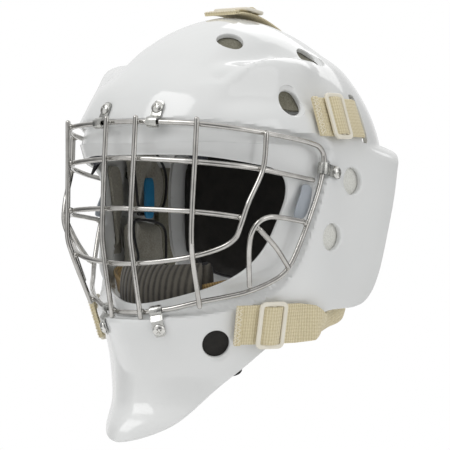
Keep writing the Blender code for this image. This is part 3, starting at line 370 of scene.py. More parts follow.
# Olive-grey knit, a darker copy of the grey liner knit; on the left temple cushion it is painted shade beside the grey
# right one
LINER_OLIVE = KnitCloth("olive_grey_liner_knit", 0x7B786A, 0.88, shade=0x55533F, sheen=0.3)
BROW_NAVY = KnitCloth("navy_sweatband_knit", 0x2A2D36, 0.85, shade=0x15171D, sheen=0.25)
FOAM_BLACK = CellFoam("black_nitrile_foam", 0x24221F, 0.82, shade=0x121110)
PIPING_BLACK = KnitCloth("black_edge_binding", 0x1B1B1E, 0.7, shade=0x0C0C0E, sheen=0.2)
ACCENT_BLUE = MouldedPlastic("blue_thermoplastic_tab", 0x2E86B5, 0.42, shade=0x1F6F9C)
BACK_POLYMER = MouldedPlastic("white_moulded_polypropylene", 0xDCDDDD, 0.34, shade=0xCBCCCC)
# Ribbed cup cloth; its darker tone is painted shade in the rib grooves, mixed with a random tone shift
CUP_RIB = KnitCloth("ribbed_dark_stretch_cloth", 0x5A564E, 0.9, shade=0x24221F, sheen=0.3, rib=2.6)
SNAP_NICKEL = PlatedMetal("nickel_plated_brass", 0xC9C5BA, 0.2, shade=0xA19D92, metallic=1.0, grain=2.0)
FLOOR_WHITE = Finish("matt_white_sweep", 0xFAFAFA, 0.9, shade=0xF4F4F4)


# ---------------------------------------------------------------- geometry helpers
def unit(vector: Point) -> np.ndarray:
    """Scale a vector to length one."""
    array = np.asarray(vector, float)
    return array / np.linalg.norm(array)


def smoothstep(value: np.ndarray) -> np.ndarray:
    """Ease from 0 to 1 with level ends."""
    value = np.clip(value, 0.0, 1.0)
    return value * value * (3.0 - 2.0 * value)


def smooth_max(first: np.ndarray, second: np.ndarray, blend: float) -> np.ndarray:
    """Larger of two fields, rounded where they meet over `blend` millimetres."""
    overlap = np.clip(blend - np.abs(first - second), 0.0, None)
    return np.maximum(first, second) + overlap * overlap / (4.0 * blend)


def between(low: np.ndarray, high: np.ndarray, start: float, end: float, t: float) -> np.ndarray:
    """Value at t on the line that is `low` at start and `high` at end."""
    return (low * (end - t) + high * (t - start)) / (end - start)


def spline(points: Iterable[Point], steps: int, closed: bool = False) -> np.ndarray:
    """Centripetal Catmull-Rom curve through the points.

    Args:
        points: Points that the curve passes.
        steps: Samples for each span.
        closed: Whether the last point joins the first.

    Returns:
        The samples as an array of rows.
    """
    knots = np.array([np.asarray(p, float) for p in points])
    if closed:
        knots = np.vstack([knots[-1:], knots, knots[:2]])
    else:
        knots = np.vstack([2 * knots[0] - knots[1], knots, 2 * knots[-1] - knots[-2]])
    samples = []
    for i in range(1, len(knots) - 2):
        quad = knots[i - 1:i + 3]
        times = np.concatenate([[0.0], np.cumsum(np.linalg.norm(np.diff(quad, axis=0), axis=1) ** 0.5)])
        for t in np.linspace(times[1], times[2], steps, endpoint=False):
            first = [between(quad[k], quad[k + 1], times[k], times[k + 1], t) for k in range(3)]
            second = [between(first[k], first[k + 1], times[k], times[k + 2], t) for k in range(2)]
            samples.append(between(second[0], second[1], times[1], times[2], t))
    if not closed:
        samples.append(knots[-2])
    return np.array(samples)


def mirrored(point: Point) -> np.ndarray:
    """The point's twin on the other side of the mask."""
    return np.array([-point[0], point[1], point[2]])


def whole_span(half: Sequence[Point]) -> list[np.ndarray]:
    """Points from the right side to the left, given the half from the middle outwards."""
    return [mirrored(p) for p in reversed(half[1:])] + [np.asarray(p, float) for p in half]


def grid_faces(rows: int, columns: int) -> list[list[int]]:
    """Quads of a grid of points stored row by row."""
    return [[i * columns + j, i * columns + j + 1, (i + 1) * columns + j + 1, (i + 1) * columns + j]
            for i in range(rows - 1) for j in range(columns - 1)]


def join_layers(outer: np.ndarray, inner: np.ndarray, faces: list[list[int]],
                bulge: float = 0.0) -> tuple[np.ndarray, list[list[int]]]:
    """Close two matching skins round every open edge.

    Args:
        outer: Points of the outer skin.
        inner: Points of the inner skin, in the same order.
        faces: Faces of the outer skin.
        bulge: How far, in millimetres, the closing edge rounds outwards.

    Returns:
        Points and faces of the closed solid.
    """
    count = len(outer)
    used = {(a, face[(k + 1) % len(face)]) for face in faces for k, a in enumerate(face)}
    solid = [list(face) for face in faces] + [[v + count for v in reversed(face)] for face in faces]
    rim = [(a, b) for a, b in used if (b, a) not in used]
    points = [outer, inner]
    if not bulge:
        return np.vstack(points), solid + [[b, a, a + count, b + count] for a, b in rim]
    sums: dict[int, np.ndarray] = {}
    for a, b in rim:
        way = np.cross(outer[b] - outer[a], outer[a] - inner[a])
        for v in (a, b):
            sums[v] = sums.get(v, np.zeros(3)) + way
    rings: dict[tuple[int, int], int] = {}
    extra = []
    for v, way in sums.items():
        push = unit(way) * bulge
        for step, (share, swell) in enumerate(((0.18, 0.75), (0.5, 1.0), (0.82, 0.75))):
            rings[(v, step)] = 2 * count + len(extra)
            extra.append(outer[v] * (1 - share) + inner[v] * share + push * swell)
    for a, b in rim:
        lane_a = [a] + [rings[(a, s)] for s in range(3)] + [a + count]
        lane_b = [b] + [rings[(b, s)] for s in range(3)] + [b + count]
        for k in range(4):
            solid.append([lane_b[k], lane_a[k], lane_a[k + 1], lane_b[k + 1]])
    return np.vstack(points + [np.array(extra)]), solid


def sweep(path: np.ndarray, profiles: Sequence[Sequence[Point]], ups: Sequence[Point],
          closed: bool = False) -> tuple[np.ndarray, list[list[int]]]:
    """Carry a closed profile along a path.

    Args:
        path: Points of the path.
        profiles: One list of (across, out) pairs for each path point.
        ups: Outward direction at each path point.
        closed: Whether the path is a loop.

    Returns:
        Points and faces of the solid.
    """
    count, ring = len(path), len(profiles[0])
    verts: list[np.ndarray] = []
    for i in range(count):
        ahead = path[(i + 1) % count] if closed or i < count - 1 else path[i]
        behind = path[i - 1] if closed or i > 0 else path[i]
        tangent = unit(ahead - behind)
        out = unit(ups[i] - tangent * np.dot(ups[i], tangent))
        across = np.cross(tangent, out)
        verts += [path[i] + across * a + out * b for a, b in profiles[i]]
    faces = []
    for i in range(count if closed else count - 1):
        n = (i + 1) % count
        faces += [[i * ring + k, i * ring + (k + 1) % ring, n * ring + (k + 1) % ring, n * ring + k]
                  for k in range(ring)]
    if not closed:
        faces.append(list(range(ring))[::-1])
        faces.append([(count - 1) * ring + k for k in range(ring)])
    return np.array(verts), faces


def transported(path: np.ndarray, closed: bool = False) -> list[np.ndarray]:
    """Side directions that turn as little as possible along the path."""
    count = len(path)
    tangents = []
    for i in range(count):
        ahead = path[(i + 1) % count] if closed else path[min(i + 1, count - 1)]
        behind = path[i - 1] if closed else path[max(i - 1, 0)]
        tangents.append(unit(ahead - behind))
    seed = np.array([0.13, 0.31, 0.94])
    ups = [unit(seed - tangents[0] * np.dot(seed, tangents[0]))]
    for tangent in tangents[1:]:
        ups.append(unit(ups[-1] - tangent * np.dot(ups[-1], tangent)))
    return ups


def circle(radius: float, sides: int) -> list[tuple[float, float]]:
    """Round profile for a sweep."""
    return [(radius * math.cos(2 * math.pi * k / sides), radius * math.sin(2 * math.pi * k / sides))
            for k in range(sides)]


def tube(path: np.ndarray, radius: float, sides: int = 12,
         closed: bool = False) -> tuple[np.ndarray, list[list[int]]]:
    """Round wire along the path, its open ends domed.

    Args:
        path: Centre line.
        radius: Wire radius.
        sides: Faces round the wire.
        closed: Whether the wire is a ring.

    Returns:
        Points and faces of the wire.
    """
    if closed:
        return sweep(path, [circle(radius, sides)] * len(path), transported(path, True), True)
    start, end = unit(path[0] - path[1]), unit(path[-1] - path[-2])
    steps = (0.95, 0.7, 0.38)
    head = [path[0] + start * radius * s for s in steps]
    tail = [path[-1] + end * radius * s for s in reversed(steps)]
    line = np.vstack([head, path, tail])
    radii = [radius * math.sqrt(1 - s * s) for s in steps]
    sizes = radii + [radius] * len(path) + radii[::-1]
    return sweep(line, [circle(r, sides) for r in sizes], transported(line))


def rounded_strip(half: float, thickness: float, turn: int = 3) -> list[tuple[float, float]]:
    """Cross-section of flat webbing with rolled edges, as (across, out) pairs."""
    radius = thickness / 2
    profile = []
    for sign, start in ((1.0, -90.0), (-1.0, 90.0)):
        for k in range(turn + 1):
            angle = math.radians(start + 180.0 * k / turn)
            profile.append((sign * (half - radius) + radius * math.cos(angle), radius * math.sin(angle)))
    return profile


def lathe(profile: Sequence[Point], spot: Point, axis: Point, sides: int,
          ring: bool = False) -> tuple[np.ndarray, list[list[int]]]:
    """Solid of revolution.

    Args:
        profile: (radius, distance along the axis) from one end to the other.
        spot: Point on the axis that distances start from.
        axis: Direction of the axis.
        sides: Faces round the axis.
        ring: Whether the last circle joins back to the first, leaving a bore.

    Returns:
        Points and faces of the solid.
    """
    axis = unit(axis)
    guess = np.array([0.0, 0.0, 1.0]) if abs(axis[2]) < 0.9 else np.array([1.0, 0.0, 0.0])
    side = unit(np.cross(axis, guess))
    other = np.cross(axis, side)
    verts = [np.asarray(spot, float) + axis * along + (side * math.cos(a) + other * math.sin(a)) * radius
             for radius, along in profile for a in (2 * math.pi * k / sides for k in range(sides))]
    last = len(profile) - 1
    faces = [[i * sides + k, i * sides + (k + 1) % sides, (i + 1) * sides + (k + 1) % sides,
              (i + 1) * sides + k] for i in range(last) for k in range(sides)]
    if ring:
        faces += [[last * sides + k, last * sides + (k + 1) % sides, (k + 1) % sides, k] for k in range(sides)]
    else:
        faces += [list(range(sides))[::-1], [last * sides + k for k in range(sides)]]
    return np.array(verts), faces


def make_mesh(name: str, verts: np.ndarray, faces: list[list[int]], finish: Finish | None,
              uvs: np.ndarray | None = None, sharp: float = 40.0) -> bpy.types.Object:
    """Make a piece from points in millimetres.

    Args:
        name: The piece's name.
        verts: Points in millimetres.
        faces: Faces as lists of point numbers.
        finish: Its finish, or None for a tool such as a cutter.
        uvs: A (u, v) for each point in millimetres, for finishes that follow the surface.
        sharp: Edges steeper than this many degrees stay crisp.

    Returns:
        The new object, at the origin with its place in its mesh.
    """
    mesh = bpy.data.meshes.new(name)
    mesh.from_pydata((np.asarray(verts, float) * MM).tolist(), [], [tuple(f) for f in faces])
    if uvs is not None:
        layer = mesh.uv_layers.new(name="UVMap")
        corners = np.zeros(len(mesh.loops), np.int64)
        mesh.loops.foreach_get("vertex_index", corners)
        layer.data.foreach_set("uv", np.asarray(uvs, np.float32)[corners].ravel())
    bm = bmesh.new()
    bm.from_mesh(mesh)
    bmesh.ops.remove_doubles(bm, verts=bm.verts, dist=0.000002)
    bmesh.ops.recalc_face_normals(bm, faces=bm.faces)
    if bm.calc_volume(signed=True) < 0:
        bmesh.ops.reverse_faces(bm, faces=bm.faces)
    bm.to_mesh(mesh)
    bm.free()
    mesh.shade_smooth()
    mesh.set_sharp_from_angle(angle=math.radians(sharp))
    obj = bpy.data.objects.new(name, mesh)
    bpy.context.scene.collection.objects.link(obj)
    if finish:
        mesh.materials.append(finish.material())
    return obj


def settle(obj: bpy.types.Object) -> bpy.types.Object:
    """Apply an object's modifiers to its mesh."""
    graph = bpy.context.evaluated_depsgraph_get()
    mesh = bpy.data.meshes.new_from_object(obj.evaluated_get(graph))
    obj.modifiers.clear()
    obj.data = mesh
    return obj


def soften(obj: bpy.types.Object, width: float, segments: int = 2, angle: float = 40.0) -> bpy.types.Object:
    """Round the crisp edges of a piece by `width` millimetres."""
    bevel = obj.modifiers.new("soft_edge", "BEVEL")
    bevel.width = width * MM
    bevel.segments = segments
    bevel.limit_method = "ANGLE"
    bevel.angle_limit = math.radians(angle)
    return settle(obj)


def boolean(obj: bpy.types.Object, tool: bpy.types.Object, operation: str) -> bpy.types.Object:
    """Apply an exact Boolean with a tool and discard the tool."""
    modifier = obj.modifiers.new("boolean", "BOOLEAN")
    modifier.operation = operation
    modifier.object = tool
    modifier.solver = "EXACT"
    settle(obj)
    bpy.data.objects.remove(tool, do_unlink=True)
    return obj


def merged(parts: Sequence[tuple[np.ndarray, list[list[int]]]]) -> tuple[np.ndarray, list[list[int]]]:
    """Put several sets of points and faces into one."""
    verts, faces, start = [], [], 0
    for points, cells in parts:
        verts.append(np.asarray(points, float))
        faces += [[v + start for v in cell] for cell in cells]
        start += len(points)
    return np.vstack(verts), faces


def dress(piece: bpy.types.Object, body: Body | str, slot: str, *nodes: str) -> bpy.types.Object:
    """Hand a piece to the frame.

    Args:
        piece: The finished piece.
        body: Body that it rides on.
        slot: Material slot of the record; not used.
        *nodes: Frame nodes that it stands for.

    Returns:
        The same piece.
    """
    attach(piece, body.value if isinstance(body, Body) else body)
    if nodes:
        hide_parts(*nodes)
    LOG.info("%s: %d faces on %s", piece.name, len(piece.data.polygons), body)
    return piece


class Repeater:
    """Geometry Nodes tree that sets one template on many points."""

    def __init__(self) -> None:
        """Build the tree once; every repeated part uses it."""
        self.group = bpy.data.node_groups.new("repeat_on_points", "GeometryNodeTree")
        face = self.group.interface
        for name, kind, way in (
            ("Places", "NodeSocketGeometry", "INPUT"), ("Template", "NodeSocketObject", "INPUT"),
            ("Size", "NodeSocketFloat", "INPUT"), ("Size spread", "NodeSocketFloat", "INPUT"),
            ("Seed", "NodeSocketInt", "INPUT"), ("Finish", "NodeSocketMaterial", "INPUT"),
            ("Pieces", "NodeSocketGeometry", "OUTPUT"),
        ):
            face.new_socket(name, in_out=way, socket_type=kind)
        tree = self.group
        start = add_node(tree, "NodeGroupInput")
        turn = add_node(tree, "GeometryNodeInputNamedAttribute", {"Name": "turn"}, data_type="FLOAT_VECTOR")
        stretch = add_node(tree, "GeometryNodeInputNamedAttribute", {"Name": "stretch"}, data_type="FLOAT_VECTOR")
        euler = add_node(tree, "FunctionNodeEulerToRotation", {}, {0: turn.outputs[0]})
        template = add_node(tree, "GeometryNodeObjectInfo", {"As Instance": True},
                            {"Object": start.outputs["Template"]}, transform_space="ORIGINAL")
        low = add_node(tree, "ShaderNodeMath", {0: 1.0}, {1: start.outputs["Size spread"]}, operation="SUBTRACT")
        high = add_node(tree, "ShaderNodeMath", {0: 1.0}, {1: start.outputs["Size spread"]}, operation="ADD")
        chance = add_node(tree, "FunctionNodeRandomValue", {}, {}, data_type="FLOAT")
        tree.links.new(low.outputs[0], chance.inputs[2])
        tree.links.new(high.outputs[0], chance.inputs[3])
        tree.links.new(start.outputs["Seed"], chance.inputs["Seed"])
        size = add_node(tree, "ShaderNodeMath", {}, {0: start.outputs["Size"], 1: chance.outputs[1]},
                        operation="MULTIPLY")
        scale = add_node(tree, "ShaderNodeVectorMath", {}, {0: stretch.outputs[0]}, operation="SCALE")
        tree.links.new(size.outputs[0], scale.inputs["Scale"])
        place = add_node(tree, "GeometryNodeInstanceOnPoints", {},
                         {"Points": start.outputs["Places"], "Instance": template.outputs["Geometry"],
                          "Rotation": euler.outputs[0], "Scale": scale.outputs[0]})
        real = add_node(tree, "GeometryNodeRealizeInstances", {}, {"Geometry": place.outputs[0]})
        paint = add_node(tree, "GeometryNodeSetMaterial", {},
                         {"Geometry": real.outputs[0], "Material": start.outputs["Finish"]})
        add_node(tree, "NodeGroupOutput", {}, {0: paint.outputs[0]})

    def spread(self, name: str, template: bpy.types.Object, places: Sequence[tuple[Point, Matrix, Point]],
               finish: Finish, seed: int = 3, spread: float = 0.0) -> bpy.types.Object:
        """Set the template on every place and turn the result into a plain mesh.

        Args:
            name: Name of the piece.
            template: Object to repeat, made round the origin.
            places: Point in millimetres, turning matrix and stretch factors of each copy.
            finish: Finish of the copies.
            seed: Seed of the size spread.
            spread: Share by which sizes differ.

        Returns:
            One object that holds all the copies.
        """
        mesh = bpy.data.meshes.new(name + "_places")
        mesh.from_pydata([(np.asarray(p, float) * MM).tolist() for p, _, _ in places], [], [])
        turns = np.array([list(m.to_euler()) for _, m, _ in places], np.float32)
        stretches = np.array([s for _, _, s in places], np.float32)
        for key, data in (("turn", turns), ("stretch", stretches)):
            mesh.attributes.new(key, "FLOAT_VECTOR", "POINT").data.foreach_set("vector", data.ravel())
        host = bpy.data.objects.new(name, mesh)
        bpy.context.scene.collection.objects.link(host)
        modifier = host.modifiers.new("repeat", "NODES")
        modifier.node_group = self.group
        wanted = {"Template": template, "Size": 1.0, "Size spread": spread, "Seed": seed,
                  "Finish": finish.material()}
        for item in self.group.interface.items_tree:
            if item.in_out == "INPUT" and item.name in wanted:
                modifier[item.identifier] = wanted[item.name]
        settle(host)
        host.data.shade_smooth()
        host.data.set_sharp_from_angle(angle=math.radians(40.0))
        bpy.data.objects.remove(template, do_unlink=True)
        return host


def facing(normal: Point, along: Point) -> Matrix:
    """Turning matrix whose Z is the normal and whose X lies nearest to `along`."""
    z = Vector(unit(normal))
    x = Vector(unit(along))
    x = (x - z * x.dot(z)).normalized()
    y = z.cross(x)
    return Matrix((x, y, z)).transposed()


# ---------------------------------------------------------------- shell
@dataclass
class Shell:
    """Moulded shell: smooth skin, recessed cage seat, crown inset, vents and strap slots."""

    wall: float = 3.6
    dome_top: float = 158.8
    dome_base: float = 40.0
    dome_exponent: float = 1.8
    dome_centre: float = 24.0
    dome_half: float = 107.0
    dome_front: float = 133.0
    dome_rear: float = 125.0
    plan_exponent: float = 2.55
    flare: float = 5.0
    opening: tuple[float, float, float] = (40.0, -66.0, -28.0)
    opening_lean: float = 0.38
    seat: tuple[float, float, float] = (69.0, -83.6, 2.0)
    seat_depth: float = 6.5
    chin_seat_depth: float = 12.0
    seat_ramp: float = 3.2
    corner_blend: float = 30.0
    crease_height: float = 117.0
    crown_inset: float = 4.8
    ridge: float = 5.5
    ridge_step: float = 5.2
    ridge_valley: float = 4.0
    vent_radius: float = 10.5
    # Height, centre y, half width, front length, rear length and exponent of each plan section
    sections: tuple[Point, ...] = (
        (50.0, 24.0, 106.3, 132.0, 124.0, 2.6), (36.0, 27.0, 107.0, 131.0, 250.0, 2.5),
        (-10.0, 30.0, 107.0, 122.0, 250.0, 2.4), (-45.0, 30.0, 104.0, 125.0, 250.0, 2.2),
        (-84.0, 30.0, 98.0, 141.0, 250.0, 1.65), (-104.0, 30.0, 96.0, 132.5, 250.0, 1.6),
        (-128.0, 30.0, 96.0, 125.5, 250.0, 1.6), (-148.0, 30.0, 91.0, 128.5, 250.0, 1.6),
        (-165.0, 30.0, 81.0, 143.5, 250.0, 1.6), (-180.0, 30.0, 77.0, 150.0, 250.0, 1.6),
    )
    # Rear and lower edge in side view, (y, z) from the crown down to the chin
    edge: tuple[Point, ...] = (
        (170.0, 112.0), (150.0, 92.0), (138.0, 76.0), (126.0, 60.0), (114.0, 47.0), (104.5, 38.5),
        (100.0, 30.0), (97.0, 19.0), (92.5, 0.0), (87.5, -19.0), (83.5, -38.0), (80.0, -54.0), (75.5, -66.0),
        (67.0, -74.0), (54.0, -77.3), (38.0, -77.6), (22.0, -78.6), (8.0, -83.0), (-8.0, -90.8),
        (-27.0, -102.5), (-44.0, -118.0), (-58.0, -132.0), (-74.0, -150.0), (-90.0, -162.3),
        (-104.0, -169.4), (-116.0, -173.8), (-126.0, -175.5), (-170.0, -177.0),
    )
    # Vent centres: x for those on the dome, then y and z
    vents: tuple[tuple, ...] = (
        (42.0, -30.0, None), (70.0, 38.0, None), (None, -19.0, 83.5), (None, 40.0, 22.0),
        (None, 15.5, -21.5), (None, -65.5, -102.0),
    )
    slot: tuple[float, float, float, float] = (63.5, 72.0, 10.0, 41.0)
    screw_clearance: float = 2.35
    line: np.ndarray = field(init=False)

    def __post_init__(self) -> None:
        """Smooth the edge outline once."""
        self.line = spline([(y, z, 0.0) for y, z in self.edge], 3)[:, :2]

    def section(self, z: np.ndarray) -> np.ndarray:
        """Plan section at each height.

        Args:
            z: Heights in millimetres.

        Returns:
            Centre y, half width, front length, rear length and exponent for each height.
        """
        z = np.asarray(z, float)
        table = np.array(self.sections)[::-1]
        heights = table[:, 0]
        slopes = np.gradient(table, heights, axis=0)
        level = np.clip(z, heights[0], heights[-1])
        k = np.clip(np.searchsorted(heights, level) - 1, 0, len(heights) - 2)
        span = heights[k + 1] - heights[k]
        t = ((level - heights[k]) / span)[..., None]
        rows = ((2 * t ** 3 - 3 * t ** 2 + 1) * table[k] + (t ** 3 - 2 * t ** 2 + t) * slopes[k] * span[..., None]
                + (3 * t ** 2 - 2 * t ** 3) * table[k + 1] + (t ** 3 - t ** 2) * slopes[k + 1] * span[..., None])
        rise = np.clip((z - self.dome_base) / (self.dome_top - self.dome_base), 0.0, 1.0)
        scale = (1.0 - rise ** self.dome_exponent) ** (1.0 / self.dome_exponent)
        dome = np.stack([np.full_like(z, self.dome_centre), self.dome_half * scale, self.dome_front * scale,
                         self.dome_rear * scale, self.plan_exponent - 0.3 * rise], axis=-1)
        return np.where((z >= self.sections[0][0])[..., None], dome, rows[..., 1:])

    def base_point(self, theta: np.ndarray, z: np.ndarray) -> np.ndarray:
        """Point of the plain skin; theta is 0 at the front and half a turn at the back."""
        theta, z = np.broadcast_arrays(np.asarray(theta, float), np.asarray(z, float))
        rows = self.section(z)
        centre, half, front, rear, power = (rows[..., k] for k in range(5))
        sine, cosine = np.sin(theta), np.cos(theta)
        x = half * np.sign(sine) * np.abs(sine) ** (2.0 / power)
        y = centre - np.where(cosine > 0, front, rear) * np.sign(cosine) * np.abs(cosine) ** (2.0 / power)
        swell = self.flare * smoothstep((y - 20.0) / 80.0) * smoothstep((52.0 - z) / 16.0)
        return np.stack([x + swell * np.sign(sine) * np.abs(sine), y, z], axis=-1)

    def base_normal(self, theta: np.ndarray, z: np.ndarray) -> np.ndarray:
        """Outward normal of the plain skin, by differences."""
        theta, height = np.broadcast_arrays(np.asarray(theta, float), np.asarray(z, float))
        level = np.clip(height, None, self.dome_top - 0.6)
        along = self.base_point(theta + 0.004, level) - self.base_point(theta - 0.004, level)
        up = self.base_point(theta, level + 0.25) - self.base_point(theta, level - 0.25)
        normal = np.cross(along, up)
        normal = normal / np.linalg.norm(normal, axis=-1, keepdims=True)
        return np.where((height > self.dome_top - 0.1)[..., None], np.array([0.0, 0.0, 1.0]), normal)

    def outline(self, points: np.ndarray, top: float, bottom: float, side: float) -> np.ndarray:
        """Below zero inside a rounded face outline with the given limits."""
        x, y, z = points[..., 0], points[..., 1], points[..., 2]
        crown = z - (top - 6.0 * (np.abs(x) / 90.0) ** 4)
        floor = (bottom + 14.0 * (np.abs(x) / 85.0) ** 2.5) - z
        edge = y - (side + self.opening_lean * (z - 10.0))
        return smooth_max(smooth_max(crown, floor, self.corner_blend), edge, self.corner_blend)

    def lift(self, points: np.ndarray) -> np.ndarray:
        """How far the finished face stands off the plain skin.

        Args:
            points: Points of the plain skin.

        Returns:
            Offsets along the normal in millimetres.
        """
        x, y, z = points[..., 0], points[..., 1], points[..., 2]
        seat = self.outline(points, *self.seat)
        depth = self.seat_depth + (self.chin_seat_depth - self.seat_depth) * smoothstep((-45.0 - z) / 25.0)
        down = -depth * (1.0 - smoothstep((seat + self.seat_ramp) / self.seat_ramp))
        crease = self.crease_height - 20.0 * np.clip((-8.0 - y) / 58.0, 0.0, 1.0) ** 1.5
        ramp = 6.0 + 30.0 * smoothstep((60.0 - np.abs(x)) / 25.0) + 22.0 * smoothstep((y - 25.0) / 45.0)
        flank = smoothstep((38.0 - y) / 40.0)
        wide, wider = smoothstep((np.abs(x) - 40.0) / 25.0), smoothstep((np.abs(x) - 60.0) / 18.0)
        ridge = self.ridge * np.exp(-((z - 109.0) / 8.5) ** 2) * wide
        step = self.ridge_step * smoothstep((z - crease) / 8.0 + 0.3) * np.exp(-((z - 124.0) / 14.0) ** 2) * wide
        valley = self.ridge_valley * np.exp(-((z - 86.0) / 10.0) ** 2) * wider
        inset = self.crown_inset * smoothstep((z - crease) / ramp + 0.3)
        return down - inset + flank * (ridge - step - valley)

    def skin(self, theta: np.ndarray, z: np.ndarray, inset: float = 0.0) -> np.ndarray:
        """Point `inset` millimetres behind the finished outer face."""
        point = self.base_point(theta, z)
        return point + self.base_normal(theta, z) * (self.lift(point) - inset)[..., None]

    def keep(self, theta: np.ndarray, z: np.ndarray) -> np.ndarray:
        """Above zero where the shell has material: behind the face opening and inside the edge."""
        point = self.base_point(theta, z)
        spot = point[..., 1:3]
        run = self.line[1:] - self.line[:-1]
        offset = spot[..., None, :] - self.line[:-1]
        along = np.clip((offset * run).sum(-1) / (run * run).sum(-1), 0.0, 1.0)
        distance = np.sqrt(((offset - along[..., None] * run) ** 2).sum(-1))
        nearest = distance.argmin(-1)
        chosen = np.take_along_axis(offset, nearest[..., None, None], -2)[..., 0, :]
        way = run[nearest]
        cross = way[..., 0] * chosen[..., 1] - way[..., 1] * chosen[..., 0]
        edge = -np.sign(cross) * np.take_along_axis(distance, nearest[..., None], -1)[..., 0]
        return np.minimum(edge, self.outline(point, *self.opening))

    def angle_at(self, y: float, z: float) -> float:
        """Angle of the left side's skin point at the given y and z."""
        low, high = 0.001, math.pi - 0.001
        for _ in range(40):
            middle = (low + high) / 2
            low, high = (middle, high) if self.base_point(middle, z)[1] < y else (low, middle)
        return low

    def angle_over(self, x: float, z: float) -> float:
        """Angle of the front skin point at the given x and z."""
        low, high = 0.0, math.pi / 2
        for _ in range(40):
            middle = (low + high) / 2
            low, high = (middle, high) if self.base_point(middle, z)[0] < x else (low, middle)
        return low

    def dome_at(self, x: float, y: float) -> tuple[float, float]:
        """Angle and height of the dome over (x, y)."""
        low, high = self.sections[0][0], self.dome_top - 0.01
        for _ in range(40):
            z = (low + high) / 2
            centre, half, front, rear, power = self.section(z)
            reach = front if y < centre else rear
            inside = (abs(x) / half) ** power + (abs(y - centre) / reach) ** power < 1.0
            low, high = (z, high) if inside else (low, z)
        centre, half, front, rear, power = self.section(low)
        reach = front if y < centre else rear
        across = math.copysign((abs(x) / half) ** (power / 2), x)
        ahead = math.copysign((abs(y - centre) / reach) ** (power / 2), centre - y)
        return math.atan2(across, ahead), low

    def trimmed_grid(self, columns: int, heights: np.ndarray) -> tuple[np.ndarray, list[list[int]]]:
        """Grid over the skin whose nodes are slid onto the trim lines, clipped to what is kept.

        Args:
            columns: Columns round the shell.
            heights: Heights of the rows, from the crown down.

        Returns:
            (angle, height) of each kept node, and the faces.
        """
        angles = np.linspace(-math.pi, math.pi, columns + 1)
        theta, z = np.meshgrid(angles, heights, indexing="ij")
        value = self.keep(theta, z)
        rows, cols = theta.shape

        def crossings(starts: np.ndarray, ends: np.ndarray) -> np.ndarray:
            """Points between kept starts and dropped ends where the trim line runs."""
            low, high = starts.copy(), ends.copy()
            for _ in range(14):
                middle = (low + high) / 2
                kept = (self.keep(middle[:, 0], middle[:, 1]) >= 0)[:, None]
                low, high = np.where(kept, middle, low), np.where(kept, high, middle)
            return low

        grid = np.stack([theta, z], axis=-1)
        for _ in range(2):
            best = np.full(value.shape, 0.4)
            for di, dj in ((1, 0), (0, 1)):
                here, there = value[:rows - di, :cols - dj], value[di:, dj:]
                i, j = np.nonzero(here * there < 0)
                m, n = i + di, j + dj
                first, second = grid[i, j], grid[m, n]
                flip = (value[i, j] < 0)[:, None]
                spots = crossings(np.where(flip, second, first), np.where(flip, first, second))
                share = np.linalg.norm(spots - first, axis=1) / np.linalg.norm(second - first, axis=1)
                for a, b, spot, part in zip(zip(i, j), zip(m, n), spots, share):
                    target, gap = (a, part) if part < 0.5 else (b, 1 - part)
                    if gap < best[target] and target[0] not in (0, rows - 1):
                        best[target] = gap
                        grid[target] = spot
                        value[target] = 0.0
        nodes: list[np.ndarray] = []
        index: dict[tuple, int] = {}
        faces = []
        pending: list[tuple[int, np.ndarray, np.ndarray]] = []

        def vertex(key: tuple, spot: np.ndarray) -> int:
            """Number of the node with this key, made on first use."""
            if key not in index:
                index[key] = len(nodes)
                nodes.append(spot)
            return index[key]

        for i in range(rows - 1):
            for j in range(cols - 1):
                corners = [(i, j), (i, j + 1), (i + 1, j + 1), (i + 1, j)]
                if max(value[c] for c in corners) <= 0:
                    continue
                face = []
                for k, corner in enumerate(corners):
                    after = corners[(k + 1) % 4]
                    if value[corner] >= 0:
                        ring = corner[0] % (rows - 1) if corner[1] else 0
                        face.append(vertex(("n", ring, corner[1]), grid[corner]))
                    if value[corner] * value[after] < 0:
                        pair = tuple(sorted(((corner[0] % (rows - 1), corner[1]),
                                             (after[0] % (rows - 1), after[1]))))
                        known = ("e", pair) in index
                        number = vertex(("e", pair), grid[corner])
                        face.append(number)
                        if not known:
                            ends = (corner, after) if value[corner] > 0 else (after, corner)
                            pending.append((number, grid[ends[0]], grid[ends[1]]))
                face = [v for k, v in enumerate(face) if v != face[k - 1]]
                if len(face) >= 3:
                    faces.append(face)
        if pending:
            found = crossings(np.array([p[1] for p in pending]), np.array([p[2] for p in pending]))
            for (number, _, _), spot in zip(pending, found):
                nodes[number] = spot
        return np.array(nodes), faces

    def vent_spots(self) -> list[tuple[np.ndarray, np.ndarray]]:
        """Centre and outward normal of each vent on the left side."""
        spots = []
        for x, y, z in self.vents:
            theta, height = (self.angle_at(y, z), z) if x is None else self.dome_at(x, y)
            spots.append((self.skin(theta, height), self.base_normal(theta, height)))
        return spots

